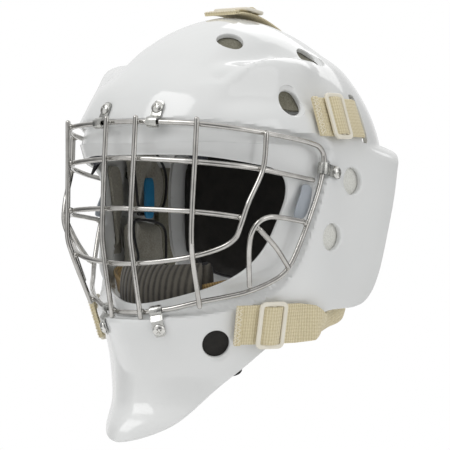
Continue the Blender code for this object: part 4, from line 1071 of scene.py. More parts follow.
    def cutters(self, screws: list[tuple[np.ndarray, np.ndarray]]) -> bpy.types.Object:
        """Make one tool for every hole, the vents and slots flared at the outer face so that their rims are rounded.

        Args:
            screws: Centre and outward normal of each clip screw on the left side.

        Returns:
            The tool.
        """
        parts = []
        radius = self.vent_radius
        flared = [(radius, -12.0), (radius, -1.6), (radius + 0.15, -1.0), (radius + 0.5, -0.45),
                  (radius + 1.1, -0.05), (radius + 3.4, 1.2), (radius + 3.4, 6.0)]
        drilled = [(self.screw_clearance, -9.0), (self.screw_clearance, 9.0)]
        for side in Side:
            for spot, normal in self.vent_spots():
                parts.append(lathe(flared, spot * side.flip, normal * side.flip, 48))
            for spot, normal in screws:
                parts.append(lathe(drilled, spot * side.flip, normal * side.flip, 20))
            y, z, width, length = self.slot
            theta = self.angle_at(y, z)
            spot, normal = self.skin(theta, z) * side.flip, self.base_normal(theta, z) * side.flip
            along = unit(np.cross((0.0, 0.0, 1.0), normal))
            tall = np.cross(normal, along)
            rings = []
            for grow, level in ((0.0, -12.0), (0.0, -1.2), (0.5, -0.4), (2.6, 1.4), (2.6, 12.0)):
                half_w, half_l, corner = width / 2 + grow, length / 2 + grow, 3.2 + grow
                for k in range(24):
                    turn = 2 * math.pi * (k + 0.5) / 24
                    a = math.copysign(half_w - corner, math.cos(turn)) + corner * math.cos(turn)
                    b = math.copysign(half_l - corner, math.sin(turn)) + corner * math.sin(turn)
                    rings.append(spot + along * a + tall * b + normal * level)
            faces = [[i * 24 + k, i * 24 + (k + 1) % 24, (i + 1) * 24 + (k + 1) % 24, (i + 1) * 24 + k]
                     for i in range(4) for k in range(24)]
            faces += [list(range(24))[::-1], [96 + k for k in range(24)]]
            parts.append((np.array(rings), faces))
        return make_mesh("shell_cutters", *merged(parts), None)

    def build(self, screws: list[tuple[np.ndarray, np.ndarray]]) -> None:
        """Make the shell and hand it to the frame."""
        dome = self.dome_base + (self.dome_top - self.dome_base) * np.sin(np.radians(np.linspace(90, 24, 44)))
        heights = np.concatenate([dome, np.arange(dome[-1] - 1.9, 62.0, -1.7), np.arange(61.0, -72.0, -2.4),
                                  np.arange(-72.5, -92.0, -1.5), np.arange(-93.0, -180.0, -2.3)])
        nodes, faces = self.trimmed_grid(264, heights)
        outer = self.skin(nodes[:, 0], nodes[:, 1])
        inner = self.skin(nodes[:, 0], nodes[:, 1], self.wall)
        verts, solid = join_layers(outer, inner, faces, bulge=0.7)
        shell = make_mesh("moulded_shell", verts, solid, SHELL_GEL, sharp=50.0)
        boolean(shell, self.cutters(screws), "DIFFERENCE")
        refinish(shell, SHELL_GEL)
        shell.data.shade_smooth()
        shell.data.set_sharp_from_angle(angle=math.radians(42.0))
        dress(shell, Body.SHELL, "gel_coat", "shell")


# ---------------------------------------------------------------- cage
@dataclass
class Cage:
    """Welded cage of chromed wire, with the clips, screws and nuts that hold it."""

    shell: Shell
    repeater: Repeater
    radius: float = 2.0
    layer: float = 2.2
    clip_thickness: float = 1.3
    clip_width: float = 9.0
    clip_tail: float = 5.6
    hook_gap: float = 1.1
    hook_start: float = 118.0
    hook_sweep: float = 192.0
    seat_gap: float = 0.6
    nut_gap: float = 0.6
    plate_faces: tuple[float, float] = (100.2, 101.3)
    plate_outline: tuple[Point, ...] = ((-27.5, -5.5), (-14.0, -5.5), (-4.8, 14.5), (-7.0, 18.0),
                                        (-13.0, 19.5), (-17.5, 18.0), (-18.3, 14.5))
    inner_upright: tuple[Point, ...] = (
        (14.2, -109.2, 69.5), (14.2, -111.5, 39.0), (13.8, -114.0, 1.0), (13.8, -114.8, -20.0),
        (13.9, -112.8, -33.0), (13.9, -103.4, -81.0))
    outer_upright: tuple[Point, ...] = (
        (63.0, -98.4, 67.5), (62.0, -99.5, 36.0), (60.9, -101.2, -1.0), (60.6, -101.6, -22.0),
        (59.0, -98.6, -34.0), (53.2, -83.0, -72.5))
    rim: tuple[Point, ...] = (
        (0.0, -109.0, 66.8), (14.0, -108.7, 66.5), (38.0, -105.3, 65.8), (63.0, -98.2, 64.3),
        (82.0, -82.0, 61.5), (92.5, -66.0, 59.0), (101.2, -38.0, 55.0), (106.6, -10.5, 50.5),
        (108.3, -2.0, 47.5), (108.9, 2.8, 41.0), (108.2, 0.2, 23.0), (106.8, -16.3, -11.0),
        (101.4, -30.3, -41.0), (98.0, -35.5, -48.5), (92.0, -43.0, -54.5), (80.0, -58.0, -62.0),
        (67.0, -71.5, -66.0), (53.6, -83.9, -69.3), (34.0, -96.0, -74.6), (14.0, -103.4, -77.5),
        (0.0, -104.6, -78.0))
    upper_bar: tuple[Point, ...] = (
        (0.0, -112.6, 39.3), (14.0, -111.7, 38.8), (38.0, -108.0, 37.6), (62.0, -99.1, 36.0),
        (81.0, -83.0, 33.8), (92.5, -65.6, 31.5), (101.5, -38.0, 27.0), (105.5, -7.0, 22.5))
    middle_bar: tuple[Point, ...] = (
        (0.0, -115.0, 1.3), (13.5, -114.0, 1.0), (38.0, -109.5, 0.3), (60.6, -100.7, -0.9),
        (76.0, -89.0, -2.8), (86.5, -76.6, -5.0))
    cat_eye: tuple[Point, ...] = (
        (97.3, -58.0, 57.0), (96.4, -60.8, 31.5), (92.0, -73.5, 5.0), (89.0, -78.0, -10.0),
        (84.5, -78.5, -20.0), (77.0, -82.0, -26.5), (59.0, -95.3, -34.0), (38.0, -105.0, -38.0),
        (14.0, -109.3, -40.2), (0.0, -110.4, -40.8))
    side_wire: tuple[Point, ...] = (
        (105.0, -21.5, -9.0), (103.5, -45.0, -6.0), (100.5, -59.0, -5.2), (97.0, -66.5, -8.5),
        (93.0, -70.0, -16.0), (89.5, -69.0, -28.0), (83.5, -60.8, -57.0))
    brace: tuple[Point, ...] = ((96.0, -64.5, -14.5), (100.0, -50.0, -28.0), (100.5, -35.5, -42.5))

    def layered(self, points: Sequence[Point], side: float) -> list[np.ndarray]:
        """Shift a wire half a crossing in front of (+1) or behind (-1) the others."""
        return [np.asarray(p, float)
                + unit((p[0] / 104.0 ** 2, (p[1] - 5.0) / 121.0 ** 2, 0.0)) * self.layer * side for p in points]

    def routes(self) -> dict[str, tuple[np.ndarray, bool]]:
        """Centre line of every wire, under its frame node's name, and whether it is a ring."""
        loop = self.layered(self.rim, -1.0)
        far = [mirrored(p) for p in reversed(loop[1:-1])]
        made = {
            "cage_rim": (spline(loop + far, 8, closed=True), True),
            "cage_upper_crossbar": (spline(whole_span(self.layered(self.upper_bar, -1.0)), 8), False),
            "cage_middle_crossbar": (spline(whole_span(self.layered(self.middle_bar, -1.0)), 8), False),
            "cage_cat_eye_wire": (spline(whole_span(self.cat_eye[::-1]), 8), False),
        }
        for side in Side:
            for name, points in (("inner_upright", self.layered(self.inner_upright, 1.0)),
                                 ("outer_upright", self.layered(self.outer_upright, 1.0)),
                                 ("side_wire", list(self.side_wire)), ("side_brace", list(self.brace))):
                turned = [np.asarray(p, float) * side.flip for p in points]
                made["cage_%s_%s" % (name, side.word)] = (spline(turned, 10), False)
        return made

    def build_wires(self) -> None:
        """Make the wires and the weld beads where they cross or end on each other."""
        routes = self.routes()
        for name, (path, ring) in routes.items():
            wire = make_mesh(name.replace("cage_", "chromed_"), *tube(path, self.radius, 14, ring), CAGE_CHROME)
            dress(wire, Body.SHELL, "steel", name)
        beads = []
        names = list(routes)
        reach = self.radius * 2 + 2.6
        for a, first in enumerate(names):
            for second in names[a + 1:]:
                one, two = routes[first][0], routes[second][0]
                gaps = np.linalg.norm(one[:, None] - two[None], axis=2)
                while gaps.min() < reach:
                    i, j = np.unravel_index(gaps.argmin(), gaps.shape)
                    middle = (one[i] + two[j]) / 2
                    link = two[j] - one[i]
                    along = one[(i + 1) % len(one)] - one[i - 1]
                    beads.append((middle, facing(link, along), (1.0, 1.0, np.linalg.norm(link) / 4.2)))
                    near = np.linalg.norm(one - one[i], axis=1) < 16.0
                    gaps[near] = 1e9
        bead = [(0.4, -1.9), (1.5, -1.6), (2.2, -0.7), (2.35, 0.0), (2.2, 0.7), (1.5, 1.6), (0.4, 1.9)]
        template = make_mesh("weld_template", *lathe(bead, (0, 0, 0), (0, 0, 1), 12), None)
        welds = self.repeater.spread("cage_weld_beads", template, beads, WELD_CHROME, seed=5, spread=0.08)
        dress(welds, Body.SHELL, "steel")

    def clip_places(self) -> list[tuple[str, np.ndarray, np.ndarray, np.ndarray, float, float]]:
        """Name, screw point, normal, way to the rim, and the rim's distance and height, on the left."""
        path = spline(self.layered(self.rim, -1.0), 12)
        places = []
        for name, theta, z in (("top", self.shell.angle_over(25.7, 76.5), 76.5),
                               ("side", self.shell.angle_at(17.0, 28.5), 28.5),
                               ("bottom", self.shell.angle_over(26.7, -90.0), -90.0)):
            spot, normal = self.shell.skin(theta, z), self.shell.base_normal(theta, z)
            nearest = np.linalg.norm(path - spot, axis=1).argmin()
            tangent = unit(path[nearest + 1] - path[nearest - 1])
            across = unit(tangent - normal * np.dot(tangent, normal))
            towards = np.cross(across, normal)
            gap = path[nearest] - spot
            towards = towards * math.copysign(1.0, float(gap @ towards))
            places.append((name, spot, normal, towards, float(gap @ towards), float(gap @ normal)))
        return places

    def clip_strip(self, spot: np.ndarray, normal: np.ndarray, run: np.ndarray, reach: float,
                   height: float) -> tuple[np.ndarray, list[list[int]]]:
        """Pressed strip, flat under the screw and hooked round the rim.

        Args:
            spot: Screw point.
            normal: Outward normal there.
            run: Way from the screw to the rim.
            reach: Distance to the rim along `run`.
            height: Height of the rim's centre above the skin.

        Returns:
            Points and faces of the strip.
        """
        bend = self.radius + self.hook_gap + self.clip_thickness / 2
        base = self.seat_gap + self.clip_thickness / 2
        line = [(-self.clip_tail + k * 0.9, base) for k in range(4)]
        line += [(a, base) for a in np.linspace(-1.6, reach - bend - self.clip_thickness, 6)]
        line += [(reach + bend * math.cos(a), height + bend * math.sin(a))
                 for a in np.radians(self.hook_start - self.hook_sweep * np.linspace(0, 1, 20))]
        across = np.cross(run, normal)
        flat = np.array(line)
        tangent = np.gradient(flat, axis=0)
        tangent /= np.linalg.norm(tangent, axis=1, keepdims=True)
        half = self.clip_thickness / 2
        columns = np.array([-1.0, -0.93, -0.75, 0.0, 0.75, 0.93, 1.0]) * self.clip_width / 2
        last = len(flat) - 1
        outer, inner = [], []
        for i, (a, b) in enumerate(flat):
            ends = min(i, last - i)
            narrow = (0.62, 0.84, 0.95, 1.0)[min(ends, 3)]
            bent = np.array([-tangent[i, 1], tangent[i, 0]])
            for c in columns:
                round_off = half * (1.0 - 0.35 * (abs(c) > self.clip_width * 0.45))
                centre = spot + run * a + normal * b + across * c * narrow
                push = (run * bent[0] + normal * bent[1]) * round_off
                outer.append(centre + push)
                inner.append(centre - push)
        return join_layers(np.array(outer), np.array(inner), grid_faces(len(flat), len(columns)))

    def screw_template(self) -> bpy.types.Object:
        """Pan-head screw with a cross recess, made round the origin with its head up."""
        dome = [(0.3, 2.45), (1.4, 2.36), (2.7, 2.05), (3.8, 1.5), (4.5, 0.85), (4.85, 0.3), (4.85, 0.0),
                (2.0, 0.0)]
        thread = [(2.0 - 0.28 * (k % 2), -0.4 - 0.4 * k) for k in range(20)] + [(1.2, -9.0)]
        screw = make_mesh("screw_template", *lathe(dome + thread, (0, 0, 0), (0, 0, 1), 28), None)
        arms = []
        for turn in (0.0, math.pi / 2):
            along, across = np.array([math.cos(turn), math.sin(turn), 0]), np.array([-math.sin(turn), math.cos(turn), 0])
            outline = [(-2.7, 3.2), (-2.7, 2.3), (-1.3, 1.1), (1.3, 1.1), (2.7, 2.3), (2.7, 3.2)]
            front = [along * a + np.array([0, 0, b]) + across * 0.5 for a, b in outline]
            back = [p - across * 1.0 for p in front]
            faces = [list(range(6)), list(range(11, 5, -1))]
            faces += [[(k + 1) % 6, k, 6 + k, 6 + (k + 1) % 6] for k in range(6)]
            arms.append(make_mesh("recess_arm", np.array(front + back), faces, None))
        boolean(arms[0], arms[1], "UNION")
        return boolean(screw, arms[0], "DIFFERENCE")

    def build_fasteners(self) -> None:
        """Make the clips, screws and barrel nuts of both sides."""
        strips, heads, barrels = [], [], []
        for side in Side:
            for _, spot, normal, run, reach, height in self.clip_places():
                here, out, way = spot * side.flip, normal * side.flip, run * side.flip
                strips.append(self.clip_strip(here, out, way, reach, height))
                seat = here + out * (self.seat_gap + self.clip_thickness + 0.2)
                twist = facing(out, way + np.cross(out, way) * (0.45 if side is Side.LEFT else -0.2))
                heads.append((seat, twist, (1.0, 1.0, 1.0)))
                barrels.append((here - out * (self.shell.wall + self.nut_gap), facing(out, way), (1.0, 1.0, 1.0)))
        clips = make_mesh("cage_clips", *merged(strips), CLIP_ZINC)
        nodes = ["%s_%s" % (p, s.word) for p in ("top", "side", "bottom") for s in Side]
        dress(clips, Body.SHELL, "zinc", *["cage_clip_" + n for n in nodes])
        screws = self.repeater.spread("clip_screws", self.screw_template(), heads, SCREW_CHROME)
        dress(screws, Body.SHELL, "steel", *["clip_screw_" + n for n in nodes])
        barrel = [(2.35, 0.0), (4.9, 0.0), (5.2, -0.3), (5.2, -1.1), (4.9, -1.3), (3.4, -1.3), (3.4, -2.6),
                  (3.2, -2.8), (2.35, -2.8)]
        template = make_mesh("nut_template", *lathe(barrel, (0, 0, 0), (0, 0, 1), 24, ring=True), None)
        nuts = self.repeater.spread("clip_barrel_nuts", template, barrels, CLIP_ZINC)
        dress(nuts, Body.SHELL, "zinc", *["clip_nut_" + n for n in nodes])

    def build_plates(self) -> None:
        """Make the blank plate inside each side of the rim."""
        outline = spline([(0.0, y, z) for y, z in self.plate_outline], 5, closed=True)[:, 1:]
        crisp = np.array(self.plate_outline[:2])
        for corner in crisp:
            near = np.linalg.norm(outline - corner, axis=1) < 0.5
            outline[near] = corner
        count = len(outline)
        for side in Side:
            verts = [np.array([side.value * x, y, z]) for x in self.plate_faces for y, z in outline]
            faces = [list(range(count)), [count + k for k in range(count)]]
            faces += [[k, (k + 1) % count, count + (k + 1) % count, count + k] for k in range(count)]
            plate = make_mesh("blank_rim_plate_" + side.word, np.array(verts), faces, PLATE_PAINT)
            soften(plate, 0.35)
            dress(plate, Body.SHELL, "plate", "rim_plate_" + side.word)

    def build(self) -> None:
        """Make the whole cage."""
        self.build_wires()
        self.build_fasteners()
        self.build_plates()


# ---------------------------------------------------------------- soft parts
def run_lengths(points: np.ndarray) -> np.ndarray:
    """Length along a line to each of its points."""
    return np.concatenate([[0.0], np.cumsum(np.linalg.norm(np.diff(points, axis=0), axis=1))])


def border(grid: np.ndarray) -> np.ndarray:
    """Closed loop of the points round a grid, without its corners."""
    return np.vstack([grid[0, 2:-2], grid[1:-1, -1], grid[-1, -3:1:-1], grid[-2:0:-1, 0]])


def refinish(obj: bpy.types.Object, finish: Finish) -> None:
    """Leave one finish on a piece whose mesh was rebuilt."""
    obj.data.materials.clear()
    obj.data.materials.append(finish.material())


def plump(obj: bpy.types.Object, voxel: float, pressure: float, cap: float, shrink: float = 0.0) -> bpy.types.Object:
    """Turn a plain solid into a filled cushion by a short cloth simulation.

    Args:
        obj: Closed piece to fill.
        voxel: Remesh size in millimetres.
        pressure: Air pressure of the filling.
        cap: Furthest that a point may move, in millimetres.
        shrink: How far the solid is drawn in before it is filled, in millimetres.

    Returns:
        The same object with its filled mesh.
    """
    remesh = obj.modifiers.new("even_mesh", "REMESH")
    remesh.mode = "VOXEL"
    remesh.voxel_size = voxel * MM
    settle(obj)
    if shrink:
        draw_in = obj.modifiers.new("draw_in", "DISPLACE")
        draw_in.strength = -shrink * MM
        draw_in.mid_level = 0.0
        settle(obj)
    rest = np.array([v.co for v in obj.data.vertices])
    cloth = obj.modifiers.new("filling", "CLOTH")
    cloth.settings.use_pressure = True
    cloth.settings.uniform_pressure_force = pressure
    cloth.settings.effector_weights.gravity = 0.0
    cloth.settings.quality = 5
    cloth.settings.tension_stiffness = 20.0
    cloth.settings.compression_stiffness = 20.0
    cloth.point_cache.frame_start = 1
    cloth.point_cache.frame_end = 20
    for frame in range(1, 21):
        bpy.context.scene.frame_set(frame)
    settle(obj)
    bpy.context.scene.frame_set(1)
    moved = np.array([v.co for v in obj.data.vertices]) - rest
    length = np.linalg.norm(moved, axis=1, keepdims=True)
    limit = cap * MM
    moved = moved * np.minimum(1.0, limit / np.maximum(length, 1e-9))
    obj.data.vertices.foreach_set("co", (rest + moved).astype(np.float32).ravel())
    obj.data.update()
    level = obj.modifiers.new("finer", "SUBSURF")
    level.levels = 1
    level.render_levels = 1
    settle(obj)
    obj.data.shade_smooth()
    return obj


@dataclass
class Liner:
    """Cushions and thin liners glued inside the shell, with piping, grip tabs and a perforated brow."""

    shell: Shell
    repeater: Repeater
    nut_clearance: float = 4.3
    brow_reach: float = 40.0
    brow_heights: tuple[float, float] = (47.0, 100.0)
    crown_start: float = 130.0
    crown_heights: tuple[float, float] = (98.0, 124.0)
    temple: tuple[tuple[float, float], tuple[float, float], float] = ((-2.0, 50.0), (-6.0, 58.0), 11.0)
    cheek: tuple[tuple[float, float], tuple[float, float], float] = ((-12.0, 44.0), (-68.0, -11.0), 13.0)

    def brow_depth(self, point: np.ndarray) -> np.ndarray:
        """Depth under the skin of the brow pad's outer face."""
        wall = self.shell.wall + 1.4
        return (wall + (self.shell.seat_depth + 0.4) * smoothstep((88.0 - point[..., 2]) / 10.0)
                + self.shell.crown_inset)

    def crown_depth(self, point: np.ndarray) -> np.ndarray:
        """Depth under the skin of the crown pad's outer face."""
        return np.full(point.shape[:-1], self.shell.wall + 1.4 + self.shell.crown_inset)

    def side_depth(self, point: np.ndarray) -> np.ndarray:
        """Depth under the skin of the side pads' outer faces, clear of the nuts and the cage seat."""
        seat = self.shell.outline(point, *self.shell.seat)
        deeper = self.shell.seat_depth * (1.0 + 0.6 * smoothstep((-25.0 - point[..., 2]) / 40.0))
        return self.shell.wall + self.nut_clearance + deeper * (1.0 - smoothstep((seat - 5.0) / 12.0))

    def patch(self, thetas: Point, heights: Point, columns: int = 34, rows: int = 30,
              power: float = 5.0) -> tuple[np.ndarray, np.ndarray]:
        """Plain-skin points and normals of a patch with rounded corners."""
        v = np.sin(np.linspace(-1, 1, rows) * math.pi / 2 * 0.97)
        width = (1 - np.abs(v) ** power) ** (1 / power)
        u = np.linspace(-1, 1, columns)[None, :] * width[:, None]
        theta = (thetas[0] + thetas[1]) / 2 + u * (thetas[1] - thetas[0]) / 2
        z = (heights[0] + heights[1]) / 2 + np.repeat(v[:, None], columns, axis=1) * (heights[1] - heights[0]) / 2
        return self.shell.base_point(theta, z), self.shell.base_normal(theta, z)

    def cushion(self, name: str, thetas: Point, heights: Point, depth: object, thickness: float,
                finish: Finish, slot: str, node: str) -> None:
        """Make one filled cushion with piping round its face.

        Args:
            name: The piece's name.
            thetas: Range of angles round the shell.
            heights: Range of heights.
            depth: Function from points to the depth of the outer face.
            thickness: Thickness of the cushion.
            finish: Finish of its cloth.
            slot: Material slot of the record.
            node: Frame node that it stands for.
        """
        point, normal = self.patch(thetas, heights)
        deep = depth(point)
        rows, columns = point.shape[:2]
        outer = (point - normal * (deep + 0.8)[..., None]).reshape(-1, 3)
        inner = (point - normal * (deep + thickness - 1.4)[..., None]).reshape(-1, 3)
        body = make_mesh(name, *join_layers(outer, inner, grid_faces(rows, columns), bulge=0.0), finish)
        plump(body, 3.6, 4.0, 2.4, 0.6)
        refinish(body, finish)
        dress(body, Body.SHELL, slot, node)
        face = point - normal * (deep + thickness - 1.0)[..., None]
        ring = border(face)
        smooth = spline(ring[::2], 2, closed=True)
        piping = make_mesh(name + "_piping", *tube(smooth, 1.15, 8, True), PIPING_BLACK)
        dress(piping, Body.SHELL, "black_foam")

    def band(self, name: str, thetas: Point, heights: Point, depth: float, thickness: float,
             finish: Finish, slot: str) -> None:
        """Make a thin sheet that follows the shell's inside.

        Args:
            name: The piece's name.
            thetas: Range of angles round the shell.
            heights: Range of heights.
            depth: Depth of its outer face under the skin.
            thickness: Its thickness.
            finish: Its finish.
            slot: Material slot of the record.
        """
        point, normal = self.patch(thetas, heights, 60, 30, 7.0)
        lift = self.shell.lift(point)
        outer = (point + normal * (lift - depth)[..., None]).reshape(-1, 3)
        inner = (point + normal * (lift - depth - thickness)[..., None]).reshape(-1, 3)
        sheet = make_mesh(name, *join_layers(outer, inner, grid_faces(*point.shape[:2]), bulge=0.4), finish)
        dress(sheet, Body.SHELL, slot)

    def perforate(self, name: str, thetas: Point, heights: Point, depth: object, spacing: float) -> None:
        """Set a grid of punched eyelets on a face.

        Args:
            name: The piece's name.
            thetas: Range of angles.
            heights: Range of heights.
            depth: Function from points to the depth of the face under the plain skin.
            spacing: Distance between eyelets in millimetres.
        """
        rows = int((heights[1] - heights[0] - 8.0) / spacing)
        places = []
        for i in range(rows):
            z = heights[0] + 5.0 + i * spacing
            middle = (thetas[0] + thetas[1]) / 2
            girth = np.linalg.norm(self.shell.base_point(thetas[1], z) - self.shell.base_point(thetas[0], z))
            count = max(int((girth - 10.0) / spacing), 1)
            for k in range(count):
                share = (k + 0.5 * (i % 2)) / count - 0.5
                theta = middle + share * (thetas[1] - thetas[0]) * 0.86
                point, normal = self.shell.base_point(theta, z), self.shell.base_normal(theta, z)
                spot = point - normal * (float(depth(point)) + 0.05)
                places.append((spot, facing(-normal, (0, 0, 1)), (1.0, 1.0, 1.0)))
        eyelet = [(0.25, -0.5), (0.75, -0.5), (0.8, 0.12), (1.05, 0.22), (1.25, 0.0), (1.25, -0.6), (0.25, -0.7)]
        template = make_mesh("eyelet_template", *lathe(eyelet, (0, 0, 0), (0, 0, 1), 8), None)
        holes = self.repeater.spread(name, template, places, PIPING_BLACK, seed=7)
        dress(holes, Body.SHELL, "black_foam")

    def tab(self, name: str, side: Side, y: float, z: float, depth: float, size: Point) -> None:
        """Make a small moulded grip tab on the inner face of a side pad.

        Args:
            name: The piece's name.
            side: Side of the mask.
            y: Its place along the head.
            z: Its height.
            depth: Depth under the plain skin.
            size: Length, height and thickness.
        """
        theta = self.shell.angle_at(y, z) * side.value
        point, normal = self.shell.base_point(theta, z), self.shell.base_normal(theta, z)
        along = unit(np.cross((0.0, 0.0, 1.0), normal))
        tall = np.cross(normal, along)
        outline = [(math.copysign(1.0, math.cos(t)) * abs(math.cos(t)) ** 0.45 * size[0] / 2,
                    math.copysign(1.0, math.sin(t)) * abs(math.sin(t)) ** 0.45 * size[1] / 2)
                   for t in (2 * math.pi * (k + 0.5) / 32 for k in range(32))]
        spot = point - normal * depth
        layers = [(1.0, 0.0), (1.0, size[2] * 0.6), (0.93, size[2] * 0.9), (0.8, size[2])]
        verts = [spot + along * a * grow + tall * b * grow - normal * rise for grow, rise in layers for a, b in outline]
        faces = [[i * 32 + k, i * 32 + (k + 1) % 32, (i + 1) * 32 + (k + 1) % 32, (i + 1) * 32 + k]
                 for i in range(3) for k in range(32)]
        faces += [list(range(32))[::-1], [96 + k for k in range(32)]]
        dress(make_mesh(name, np.array(verts), faces, ACCENT_BLUE), Body.SHELL, "grey_foam")

    def build(self) -> None:
        """Make every part of the liner."""
        reach = math.radians(self.brow_reach)
        self.cushion("brow_sweatband", (-reach, reach), self.brow_heights, self.brow_depth, 11.0, BROW_NAVY,
                     "black_foam", "forehead_pad")
        self.perforate("brow_sweatband_perforations", (-reach, reach), self.brow_heights,
                       lambda p: self.brow_depth(p) + 11.0, 6.5)
        start = math.radians(self.crown_start)
        self.cushion("crown_cushion", (start, 2 * math.pi - start), self.crown_heights, self.crown_depth, 10.0,
                     FOAM_BLACK, "black_foam", "crown_pad")
        for side in Side:
            for key, (ends, heights, thickness), finish in (
                # The left temple cushion takes the darker olive-grey knit and the right the grey one: the same pad,
                # darker on the left, is painted shade
                ("temple", self.temple, LINER_OLIVE if side is Side.LEFT else LINER_GREY),
                ("cheek", self.cheek, LINER_GREY),
            ):
                middle = sum(heights) / 2
                thetas = sorted(self.shell.angle_at(y, middle) * side.value for y in ends)
                self.cushion("%s_cushion_%s" % (key, side.word), thetas, heights, self.side_depth, thickness,
                             finish, "grey_foam", "%s_pad_%s" % (key, side.word))
            edge = sorted(self.shell.angle_at(y, 20.0) * side.value for y in (-22.0, -5.0))
            self.band("ear_edge_band_" + side.word, edge, (-38.0, 34.0), self.shell.wall + 0.5, 2.6, LINER_GREY,
                      "grey_foam")
            self.tab("grip_tab_upper_" + side.word, side, 20.0, 8.0, self.shell.wall + 4.3 + 15.2, (12.0, 34.0, 2.0))
            rear = sorted(self.shell.angle_at(y, 20.0) * side.value for y in (56.0, 91.0))
            self.band("rear_side_liner_" + side.word, rear, (-56.0, 34.0), self.shell.wall + 0.6, 4.5, LINER_OLIVE,
                      "grey_foam")
            # Pale sheets just inside the two ear vents: painted light, standing in for the bright view through the open
            # vents
            for key, (near, far, low, high) in {"upper": (27.0, 53.5, 9.0, 35.5),
                                                "lower": (2.0, 29.0, -35.0, -8.0)}.items():
                ends = sorted(self.shell.angle_at(y, (low + high) / 2) * side.value for y in (near, far))
                self.band("%s_ear_vent_backing_%s" % (key, side.word), ends, (low, high), self.shell.wall + 0.6, 1.6,
                          VENT_PAINTED_LIGHT_KNIT, "grey_foam")
        front = math.radians(64.0)
        self.band("dome_comfort_liner", (-front, front), (88.0, 150.0), self.shell.wall + 0.6, 3.0, LINER_OLIVE,
                  "grey_foam")
        for side in Side:
            flank = sorted(side.value * math.radians(a) for a in (66.0, 128.0))
            self.band("dome_side_liner_" + side.word, flank, (78.0, 146.0), self.shell.wall + 0.6, 3.0, LINER_OLIVE,
                      "grey_foam")
            jaw = sorted(side.value * self.shell.angle_at(y, -110.0) for y in (-96.0, -48.0))
            self.band("jaw_comfort_liner_" + side.word, jaw, (-128.0, -93.0), self.shell.wall + 0.6, 3.0,
                      FOAM_BLACK, "black_foam")


# ---------------------------------------------------------------- back plate
@dataclass
class BackPlate:
    """Padded plate behind the head, on its own hinge line."""

    repeater: Repeater
    centre: float = 30.0
    half_width: float = 88.0
    length: float = 112.0
    top: float = 68.0
    bottom: float = -70.0
    spread_angle: float = 80.0
    wall: float = 3.0
    foam: float = 11.0
    foam_gap: float = 1.6
    foam_shrink: tuple[float, float] = (0.94, 0.91)
    foam_grid: tuple[int, int] = (30, 44)
    rivet_hole: float = 2.35

    def point(self, turn: float, z: float, inset: float = 0.0) -> tuple[np.ndarray, np.ndarray]:
        """Point and outward normal of the plate; turn is 0 at the middle of the back."""
        narrow = 1.0 - 0.10 * ((z - 10.0) / 80.0) ** 2
        deep = self.length - 16.0 * ((z - 30.0) / 100.0) ** 2
        spot = np.array([self.half_width * narrow * math.sin(turn), self.centre + deep * math.cos(turn), z])
        normal = unit((spot[0] / (self.half_width * narrow) ** 2, (spot[1] - self.centre) / deep ** 2,
                       0.000026 * (z - 20.0)))
        return spot - normal * inset, normal

    def layer(self, inset: float, shrink: float, rows: int, columns: int) -> np.ndarray:
        """Grid of points `inset` behind the plate's outer face, drawn in at its edges by `shrink`."""
        heights = np.sin(np.linspace(-1, 1, rows) * math.pi / 2 * 0.97)
        middle, half = (self.top + self.bottom) / 2, (self.top - self.bottom) / 2 * shrink
        spread = math.radians(self.spread_angle)
        return np.array([self.point(u * spread * (1 - abs(v) ** 4.5) ** (1 / 4.5) * shrink, middle + v * half,
                                    inset)[0] for v in heights for u in np.linspace(-1, 1, columns)])

    def build(self, anchors: list[tuple[str, np.ndarray, np.ndarray]]) -> None:
        """Make the plate, its foam and piping, and the rivets.

        Args:
            anchors: Name, point and outward normal of each strap's rivet.
        """
        rows, columns = 44, 64
        faces = grid_faces(rows, columns)
        plate = make_mesh("moulded_back_plate",
                          *join_layers(self.layer(0.0, 1.0, rows, columns), self.layer(self.wall, 1.0, rows, columns),
                                       faces, bulge=0.5), BACK_POLYMER)
        bore = [(self.rivet_hole, -9.0), (self.rivet_hole, 9.0)]
        holes = [lathe(bore, spot, normal, 20) for _, spot, normal in anchors]
        boolean(plate, make_mesh("rivet_holes", *merged(holes), None), "DIFFERENCE")
        refinish(plate, BACK_POLYMER)
        dress(plate, Body.BACK, "polymer", "back_plate")
        gap = self.wall + self.foam_gap
        outer, inner = self.foam_shrink
        foam = make_mesh("back_plate_cushion",
                         *join_layers(self.layer(gap + 0.4, outer, *self.foam_grid),
                                      self.layer(gap + self.foam - 1.6, inner, *self.foam_grid),
                                      grid_faces(*self.foam_grid)), FOAM_BLACK)
        plump(foam, 4.0, 4.0, 2.2, 0.5)
        refinish(foam, FOAM_BLACK)
        dress(foam, Body.BACK, "black_foam", "back_plate_foam")
        edge = self.layer(gap + self.foam - 1.2, inner, *self.foam_grid).reshape(*self.foam_grid, 3)
        ring = border(edge)
        piping = make_mesh("back_plate_cushion_piping", *tube(spline(ring[::2], 2, closed=True), 1.2, 8, True),
                           PIPING_BLACK)
        dress(piping, Body.BACK, "black_foam")
        rivets = [(spot + normal * 1.2, facing(normal, (0, 0, 1)), (1.0, 1.0, 1.0)) for _, spot, normal in anchors]
        head = [(0.3, 2.1), (1.6, 2.0), (2.8, 1.75), (3.9, 1.3), (4.8, 0.8), (5.4, 0.25), (5.5, 0.0), (2.0, 0.0),
                (2.0, -5.2)]
        template = make_mesh("rivet_template", *lathe(head, (0, 0, 0), (0, 0, 1), 28), None)
        piece = self.repeater.spread("strap_rivets", template, rivets, CLIP_ZINC)
        dress(piece, Body.BACK, "zinc", *["strap_rivet_" + name for name, _, _ in anchors])


